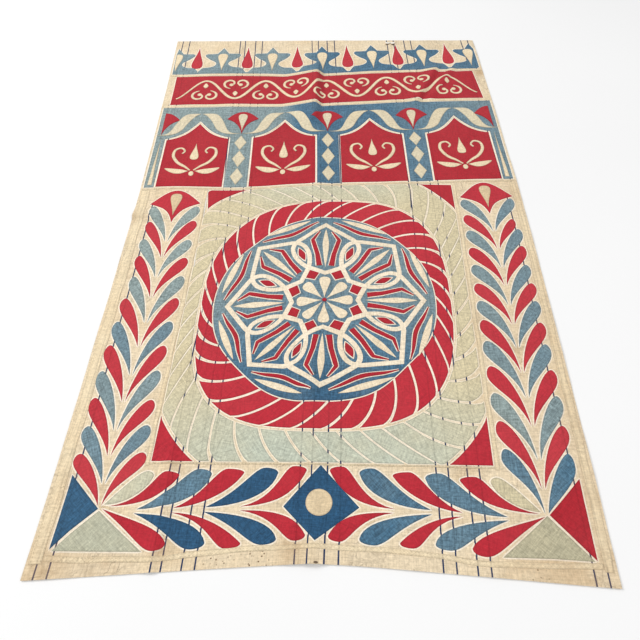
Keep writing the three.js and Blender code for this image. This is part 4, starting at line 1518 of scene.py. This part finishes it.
class PANEL_OT_rope_rings(PanelOperator):
    """Sew the sage and red rope rings strand by strand, and the red corners of the field"""

    bl_idname = "panel.rope_rings"
    bl_label = "Rope Rings"

    def execute(self, context):
        c = colours()
        # Both rings' pale edging is the ground's cream with painted highlight.
        red = rope(disc_edge(4), ring_edge(0), RED_RING, 0.8)
        sew(
            "red_strands", [piece(p, red_dye(0.06 * (k % 3))) for k, p in enumerate(red)], "red_cotton",
            nodes=["red_ring"], edging=Edging(tuple(c.edging), RED_RING["gap"] / 2),
        )
        sage = rope(ring_edge(CREAM_GAP), field_edge(0), SAGE_RING, 0.9)
        pale = blended(c.edging, c.sage_yellowed, 0.12)
        sew(
            "sage_strands", [piece(p, sage_dye) for p in sage], "sage_cotton", nodes=["sage_ring"],
            edging=Edging(tuple(pale), SAGE_RING["edging"]),
        )
        slit = strip(((363, 180), (361, 126), (359, 72)), (2.5, 4.5, 2.5))
        sew("open_strand", [piece(slit, c.stripe, laid=True)], "cream_cotton", level=2, rim=0)
        corners = []
        for side_u, side_v in ((-1, 1), (1, 1), (-1, -1), (1, -1)):
            w = FIELD["half_u"] + 1
            h, high = (FIELD["half_v"] + top for top in CORNER_TOPS[side_u, side_v])
            curve = (corner_curve(side_u, side_v, CREAM_GAP) - (0, FIELD["box_v"])) * (side_u, side_v)
            near, far = (w, curve[0, 1] + CREAM_GAP), (curve[-1, 0] + CREAM_GAP, h)
            curve = np.vstack([[near], curve[1:-1], [far]])
            curve = curve[(curve[:, 0] <= w) & (curve[:, 1] <= h)]
            outline = np.vstack([[(w, high)], curve])
            if (side_u, side_v) == (-1, 1):
                top = [(w - 13, h), (w - 4, h - 6), (w, h - 16)]
                outline = np.vstack([top, divided_line(curve, 8)])
                tucked = 14 * np.clip((h - 30 - outline[:, 1]) / 96, 0, 1)
                outline[:, 0] = np.minimum(outline[:, 0], w - tucked)
            outline = leaned(outline * (side_u, side_v) + (0, FIELD["box_v"]))
            corners.append(piece(outline, red_dye(-0.8 if side_v > 0 else -0.2)))
        sew("field_corners", corners, "red_cotton", nodes=[
            "spandrel_head_left", "spandrel_head_right", "spandrel_foot_left", "spandrel_foot_right",
        ])
        return {"FINISHED"}


def disc_dye(laid):
    """Indigo of the disc, deepest at its foot and paler at its sides."""
    low = np.interp(laid[:, 1], (-800, -720, -560, -430, -200, 20), (0.85, 0.72, 0.5, 0.36, 0.31, 0.4))
    return indigo(low - 0.12 * np.clip(np.abs(laid[:, 0] - 6) / 380, 0, 1) ** 4)


def hand_drawn(points):
    """Points of the star, moved off the regular star as far as its eight points are."""
    off = points - FIELD_MIDDLE
    place = np.arctan2(off[:, 1], off[:, 0]) % math.tau / math.tau * STAR_POINTS
    moved = np.c_[tuple(smooth_round(column, place) for column in zip(*STAR_DRAWN))]
    share = np.minimum(np.hypot(*off.T) / STAR_REACH, 1)[:, None]
    return points + STAR_MIDDLE + share * (moved - STAR_MIDDLE)


def round_field(outline, k, half_step=False):
    """An outline drawn pointing up, turned to one of the star's eight places."""
    turn = (k + (0.5 if half_step else 0)) * math.tau / STAR_POINTS
    return hand_drawn(placed(points_of(outline), FIELD_MIDDLE, turn=turn))


def lens(length_from, length_to, half, lean=0.5):
    """A slender petal pointing up."""
    mid = length_from + (length_to - length_from) * lean
    return whole(line_of(
        (0, length_from), ((half * 0.75, length_from + (mid - length_from) * 0.45), (half, mid)),
        ((half * 0.75, length_to - (length_to - mid) * 0.45), (0, length_to)), steps=7,
    ))


def beside(loop, off):
    """A closed line moved to its right, with its corners kept."""
    before, after = unit(loop - np.roll(loop, 1, 0)), unit(np.roll(loop, -1, 0) - loop)
    way = unit(before + after)
    square = np.maximum(0.45, (before * way).sum(1))[:, None]
    return loop - left_of(way) * off / square


class PANEL_OT_medallion(PanelOperator):
    """Sew the blue disc with its interlaced star, petals and daisy"""

    bl_idname = "panel.medallion"
    bl_label = "Medallion"

    def execute(self, context):
        c = colours()
        red, aged = red_dye(-0.9), blended(c.cream, c.edging, 0.35)
        disc = piece(disc_edge(0)[::2], disc_dye)
        sew("medallion_cloth", [disc], "blue_cotton", nodes=["medallion_disc"])
        loop = whole(line_of(
            (0, 119), ((62, 146),), ((110, 182), (120, 226)), ((126, 256), (100, 279)),
            ((0, STAR_REACH),), steps=8,
        ))
        edges = [beside(loop, off) for off in (STRAP_HALF, -STRAP_HALF)]
        straps = [[round_field(e, k) for e in edges] for k in range(STAR_POINTS)]
        straps = Piece(straps, blended(c.cream, c.edging, 0.6), False)
        sew("star_straps", [straps], "cream_cotton", level=2, nodes=["star_strap"], rim=0.4)
        rim = line_of((-92, 370), ((0, 397), (92, 370)), ((0, 351), (-92, 370)), steps=12)[:-1]
        leaves = ((lens(146, 330, 12, 0.6), False), (drop(0, 9, 101, 19.5), False), (rim, True))
        fillers = []
        for side in (-1, 1):
            leg = divided_line(points_of(STAR_CHEVRON) * (side, 1), 6)
            fillers.append((strip(leg, (26, 22, 21, 10)), strip(leg, (20, 16, 15, 4)), False))
        bend, kite = through(STAR_BEND, 7), points_of(STAR_KITE)
        fillers += [
            (strip(bend, (9, 18, 21, 18, 9)), strip(bend, (3, 12, 15, 12, 3)), True),
            (lens(188, 266, 16), lens(195, 259, 12), True),
            ((kite - KITE_MIDDLE) * KITE_GROWTH + KITE_MIDDLE, kite, True),
        ]
        petals, pale, strips = [], [], []
        for k in range(STAR_POINTS):
            petals += [piece(round_field(leaf, k, half_step), aged) for leaf, half_step in leaves]
            for under, over, half_step in fillers:
                pale.append(piece(round_field(under, k, half_step), c.edging))
                strips.append(piece(round_field(over, k, half_step), red))
        strips.append(piece(hand_drawn(ellipse(FIELD_MIDDLE, 8, 8, 16)), red))
        sew("star_petals", petals, "cream_cotton", level=2, rim=0.4)
        sew("strip_edges", pale, "cream_cotton", level=2, rim=0)
        sew("star_strips", strips, "red_cotton", level=3)
        return {"FINISHED"}


class PANEL_OT_side_borders(PanelOperator):
    """Sew the tulips and the rising leaves of the two side borders"""

    bl_idname = "panel.side_borders"
    bl_label = "Side Borders"

    def execute(self, context):
        c = colours()
        tulips, drops = [], []
        for t in SIDE_TULIPS:
            tulips.append(piece(tulip(t.u, t.tip, t.top, t.half, t.tips), red_dye(0.05)))
            tip, foot = t.tip + SIDE_DROP["tip"], t.top - SIDE_DROP["foot"]
            drops.append(piece(drop(t.u, tip, foot, SIDE_DROP["half"]), c.tan))
        sew("border_tulips", tulips, "red_cotton", nodes=[t.node for t in SIDE_TULIPS])
        sew("border_tulip_drops", drops, "cream_cotton", level=2)
        reds, blues = [], []
        borders = ((-1, "left", LEFT_LEAVES, LEFT_STEM), (1, "right", RIGHT_LEAVES, RIGHT_STEM))
        for side, name, rows, stem in borders:
            for k, row in enumerate(rows):
                u = float(smooth_through(stem, np.array([row.base]))[0])
                down = np.clip((100 - row.base) / 1200, 0, 1)
                for hand in (-1, 1):
                    place, tip = ("outer", row.outer) if hand == side else ("inner", row.inner)
                    form = LEAF_FORMS[OTHER_LEAVES.get((side, hand, k), f"{place}_{name}")]
                    reach = LEAF_REACH[side, hand][k >= UPPER_ROWS]
                    reach -= SHORT_LEAVES.get((side, hand, k), 0)
                    stretch = (hand * reach, tip - row.base + LEAF_INSET)
                    base = (u + LEAF_INSET * hand, row.base - LEAF_INSET)
                    outline = placed(blunt_leaf(form), base, stretch)
                    if k % 2:
                        reds.append(piece(outline, red_dye(0.12 + 0.08 * (k % 3)), laid=True))
                        continue
                    depth = 0.28 * down**2 if side < 0 else 0.24 + 0.05 * hand
                    blue = indigo(depth + OTHER_BLUES.get((side, k), 0))
                    blues.append(piece(outline, blue, laid=True))
        sew("side_leaves_red", reds, "red_cotton")
        sew("side_leaves_blue", blues, "blue_cotton")
        return {"FINISHED"}


def corner_sage(laid):
    """Sage of the foot corners, greener on the left."""
    return blended(colours().sage_soiled, colours().sage, 0.45 * (laid[:, 0] < 0))


class PANEL_OT_foot_border(PanelOperator):
    """Sew the leaves, corner gussets and lozenge of the foot border"""

    bl_idname = "panel.foot_border"
    bl_label = "Foot Border"

    def execute(self, context):
        c = colours()
        greens = blended(c.sage_yellowed, c.sage, 0.6), blended(c.sage_yellowed, c.sage_soiled, 0.2)
        groups = {dye: [] for dye in SLOTS}
        for row in FOOT_LEAVES:
            stretch = (row.far_x - row.base_x, row.far_y - row.base_y)
            outline = placed(blunt_leaf(LEAF_FORMS[row.form]), (row.base_x, row.base_y), stretch)
            dye = {
                "red": red_dye(-0.25), "sage": greens[row.base_x > 0], "deep": indigo(0.97),
                "blue": indigo(0.6 if 0 < row.base_x < 400 else 0.42),
            }[row.dye]
            groups[row.dye].append(piece(outline, dye, laid=True))
        for dye, pieces in groups.items():
            sew(f"foot_leaves_{dye}", pieces, SLOTS[dye])
        for dye, shade in (("deep", indigo(0.9)), ("sage", corner_sage), ("red", red_dye(-1))):
            rows = [g for g in GUSSETS if g.dye == dye]
            pieces = [piece(g.points, shade) for g in rows]
            sew(f"gussets_{dye}", pieces, SLOTS[dye], nodes=[g.node for g in rows], bias=GUSSET_BIAS)
        z = LOZENGE
        lozenge = piece((
            (LOZENGE_TIPS[0], z["v"] - z["half_v"]), (z["half_u"], z["side_v"]),
            (LOZENGE_TIPS[1], z["v"] + z["half_v"]), (-z["half_u"], z["side_v"]),
        ), indigo(1.0))
        sew("foot_lozenge_cloth", [lozenge], "deep_blue_cotton", nodes=["foot_lozenge"])
        eye = ellipse((EYE_U, z["v"]), z["eye_u"], z["eye_v"], 60)
        eye = piece(eye, blended(c.cream, c.tan, 0.6))
        sew("lozenge_eye_cloth", [eye], "cream_cotton", level=2, nodes=["lozenge_eye"])
        return {"FINISHED"}


class PANEL_OT_edges(PanelOperator):
    """Draw the ground cloth up a little along each sewn edge, in a pale colour that adds painted
    highlight to the ground's cream
    """

    bl_idname = "panel.edges"
    bl_label = "Sewn Edges"

    def execute(self, context):
        verts, faces, places, dyes, woven_at, start = [], [], [], [], [], 0
        for loop, outer, is_laid, edging in EDGES:
            loop = divided(loop, sizes().edge_step / MM)
            after = np.roll(loop, -1, 0)
            turn_left = (loop[:, 0] * after[:, 1] - loop[:, 1] * after[:, 0]).sum() > 0
            out = left_of(unit(after - np.roll(loop, 1, 0))) * (-1 if turn_left == outer else 1)
            n = len(loop)
            for off, rise in ((-1.4, 0.04), (0.45 * edging.width, 0.42), (edging.width, 0.04)):
                flat = loop + out * off
                laid = flat if is_laid else lay_pattern(flat)
                verts.append(risen(laid, rise))
                places.append(flat * MM)
                woven_at.append(threads_under(laid) * MM)
            # Pale edging colour with painted highlight, and no painted edge shade in the alpha.
            dyes.append(np.tile((*edging.dye, 0.0), (3 * n, 1)))
            here = start + np.arange(n)
            there = np.roll(here, -1)
            for a, b in ((0, n), (n, 2 * n), (2 * n, 0)):
                quad = np.c_[here + a, there + a, there + b, here + b]
                faces.append(quad[:, ::-1] if turn_left == outer else quad)
            start += 3 * n
        obj = cloth_object("sewn_edges", verts, faces, places, dyes, woven_at)
        settle(obj, material_for("drawn_ground"), ())
        return {"FINISHED"}


class PANEL_OT_stitches(PanelOperator):
    """Run two rows of stitches along every tape"""

    bl_idname = "panel.stitches"
    bl_label = "Stitches"

    def execute(self, context):
        s = sizes()
        pitch, long, wide = s.stitch_pitch / MM, s.stitch_length / MM, s.thread_width / MM
        lift = s.layer_gap / MM + s.piece_thickness / MM * STITCH_SUNK
        shape = points_of((
            (-0.5, 0), (-0.2, 0.5), (0.2, 0.5), (0.5, 0), (0.2, -0.5), (-0.2, -0.5),
            (-0.22, 0), (0.22, 0),
        )) * (long, wide)
        ring = (
            (0, 1, 6), (1, 2, 7, 6), (2, 3, 7), (3, 4, 7), (4, 5, 6, 7), (5, 0, 6),
            (5, 4, 3, 2, 1, 0),
        )
        spots = []
        for tape in OUTER_TAPES + INNER_TAPES + CROSS_TAPES:
            ends, sides = (tape.from_u, tape.to_u), (tape.from_v, tape.to_v)
            if upright(tape):
                ends, sides = sides, ends
            inset = min(STITCH_INSET, (sides[1] - sides[0]) / 4)
            for side, sign in ((sides[0], 1), (sides[1], -1)):
                run = np.arange(ends[0] + STITCH_END, ends[1] - STITCH_END, pitch)
                wander = STITCH_WANDER * np.sin(run / STITCH_WAVE + side)
                for at, off in zip(run, side + sign * inset + wander):
                    spot = shape[:, ::-1] + (off, at) if upright(tape) else shape + (at, off)
                    spots.append(drifted(tape, spot))
        rise = np.tile(np.r_[np.zeros(6), np.full(2, STITCH_RISE)], len(spots))
        verts = risen(lay_pattern(np.concatenate(spots)), lift + rise * wide)
        faces = [tuple(8 * k + i for i in f[::-1]) for k in range(len(spots)) for f in ring]
        obj = linked("tape_stitches", verts, faces)
        select_only(obj)
        bpy.ops.object.mode_set(mode="EDIT")
        bpy.ops.mesh.select_all(action="SELECT")
        bpy.ops.mesh.normals_make_consistent(inside=False)
        bpy.ops.object.mode_set(mode="OBJECT")
        settle(obj, material_for("thread"), ())
        return {"FINISHED"}


class PANEL_OT_declare(PanelOperator):
    """Gather the sewn pieces that ride on the frame, in order of name; the list is not passed on"""

    bl_idname = "panel.declare"
    bl_label = "Sheets"

    def execute(self, context):
        sewn = [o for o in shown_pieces() if not o.name.startswith("ground_") and o.type == "MESH"]
        sewn = [o for o in sewn if o.get("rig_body") and o.name not in frame["nodes"]]
        sewn.sort(key=lambda o: o.name)
        return {"FINISHED"}


class PANEL_OT_stage(PanelOperator):
    """Set the pale floor, the soft lights and the camera"""

    bl_idname = "panel.stage"
    bl_label = "Stage"

    def execute(self, context):
        bpy.ops.object.select_all(action="DESELECT")
        bpy.ops.mesh.primitive_plane_add(size=40, location=(0, 0, -0.0006))
        floor = context.active_object
        floor.name = "studio_floor"
        material, tree = new_tree("Studio floor")
        place = node(tree, "ShaderNodeTexCoord").outputs["Object"]
        tone = ranged(tree, grain(tree, place, (0.7, 0.7, 0.7)), 0.3, 0.7, 0.98, 1.0)
        colour = shaded(tree, colours().floor, tone)
        shader = node(tree, "ShaderNodeBsdfPrincipled", {"Base Color": colour, "Roughness": 0.9})
        tree.links.new(shader.outputs[0], node(tree, "ShaderNodeOutputMaterial").inputs[0])
        floor.data.materials.append(material)
        floor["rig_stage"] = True
        world = bpy.data.worlds.new("Studio")
        world.use_nodes = True
        world.node_tree.nodes["Background"].inputs[0].default_value = (1.0, 1.0, 1.0, 1)
        world.node_tree.nodes["Background"].inputs[1].default_value = WORLD_LIGHT
        context.scene.world = world
        for row in LIGHTS:
            bpy.ops.object.light_add(type="AREA", location=row.place)
            light = context.active_object
            light.name = row.name
            light.data.size = row.size
            light.data.energy = row.power
            light.rotation_euler = (-Vector(row.place)).to_track_quat("-Z", "Y").to_euler()
        bpy.ops.object.camera_add(location=CAMERA_PLACE, rotation=[math.radians(a) for a in CAMERA_TURN])
        camera = context.active_object
        camera.name = "Photo camera"
        camera.data.sensor_width = 36.0
        camera.data.sensor_fit = "HORIZONTAL"
        camera.data.lens = CAMERA_LENS
        camera.data.clip_start = 0.01
        context.scene.camera = camera
        context.scene.view_settings.view_transform = "Standard"
        return {"FINISHED"}


OPERATORS = (
    PANEL_OT_ground, PANEL_OT_tapes, PANEL_OT_slips, PANEL_OT_crest, PANEL_OT_head_band,
    PANEL_OT_arcade, PANEL_OT_rope_rings, PANEL_OT_medallion, PANEL_OT_side_borders,
    PANEL_OT_foot_border, PANEL_OT_edges, PANEL_OT_stitches, PANEL_OT_declare, PANEL_OT_stage,
)


class PANEL_PT_sidebar(bpy.types.Panel):
    """Steps of the tent panel in order"""

    bl_idname = "PANEL_PT_sidebar"
    bl_label = "Tent Panel"
    bl_space_type = "VIEW_3D"
    bl_region_type = "UI"
    bl_category = "Tent Panel"

    def draw(self, context):
        for group in (context.scene.panel_sizes, context.scene.panel_colours):
            column = self.layout.column()
            for name in group.__annotations__:
                column.prop(group, name)
        for operator in OPERATORS:
            self.layout.operator(operator.bl_idname)


CLASSES = (PanelColours, PanelSizes, *OPERATORS, PANEL_PT_sidebar)


def register():
    for cls in CLASSES:
        bpy.utils.register_class(cls)
    bpy.types.Scene.panel_colours = bpy.props.PointerProperty(type=PanelColours)
    bpy.types.Scene.panel_sizes = bpy.props.PointerProperty(type=PanelSizes)


def unregister():
    del bpy.types.Scene.panel_sizes
    del bpy.types.Scene.panel_colours
    for cls in reversed(CLASSES):
        bpy.utils.unregister_class(cls)


def main():
    register()
    bpy.ops.object.select_all(action="DESELECT")
    bpy.ops.panel.ground()
    bpy.ops.panel.tapes()
    bpy.ops.panel.slips()
    bpy.ops.panel.crest()
    bpy.ops.panel.head_band()
    bpy.ops.panel.arcade()
    bpy.ops.panel.rope_rings()
    bpy.ops.panel.medallion()
    bpy.ops.panel.side_borders()
    bpy.ops.panel.foot_border()
    bpy.ops.panel.edges()
    bpy.ops.panel.stitches()
    bpy.ops.panel.declare()
    bpy.ops.panel.stage()


if __name__ == "__main__":
    main()
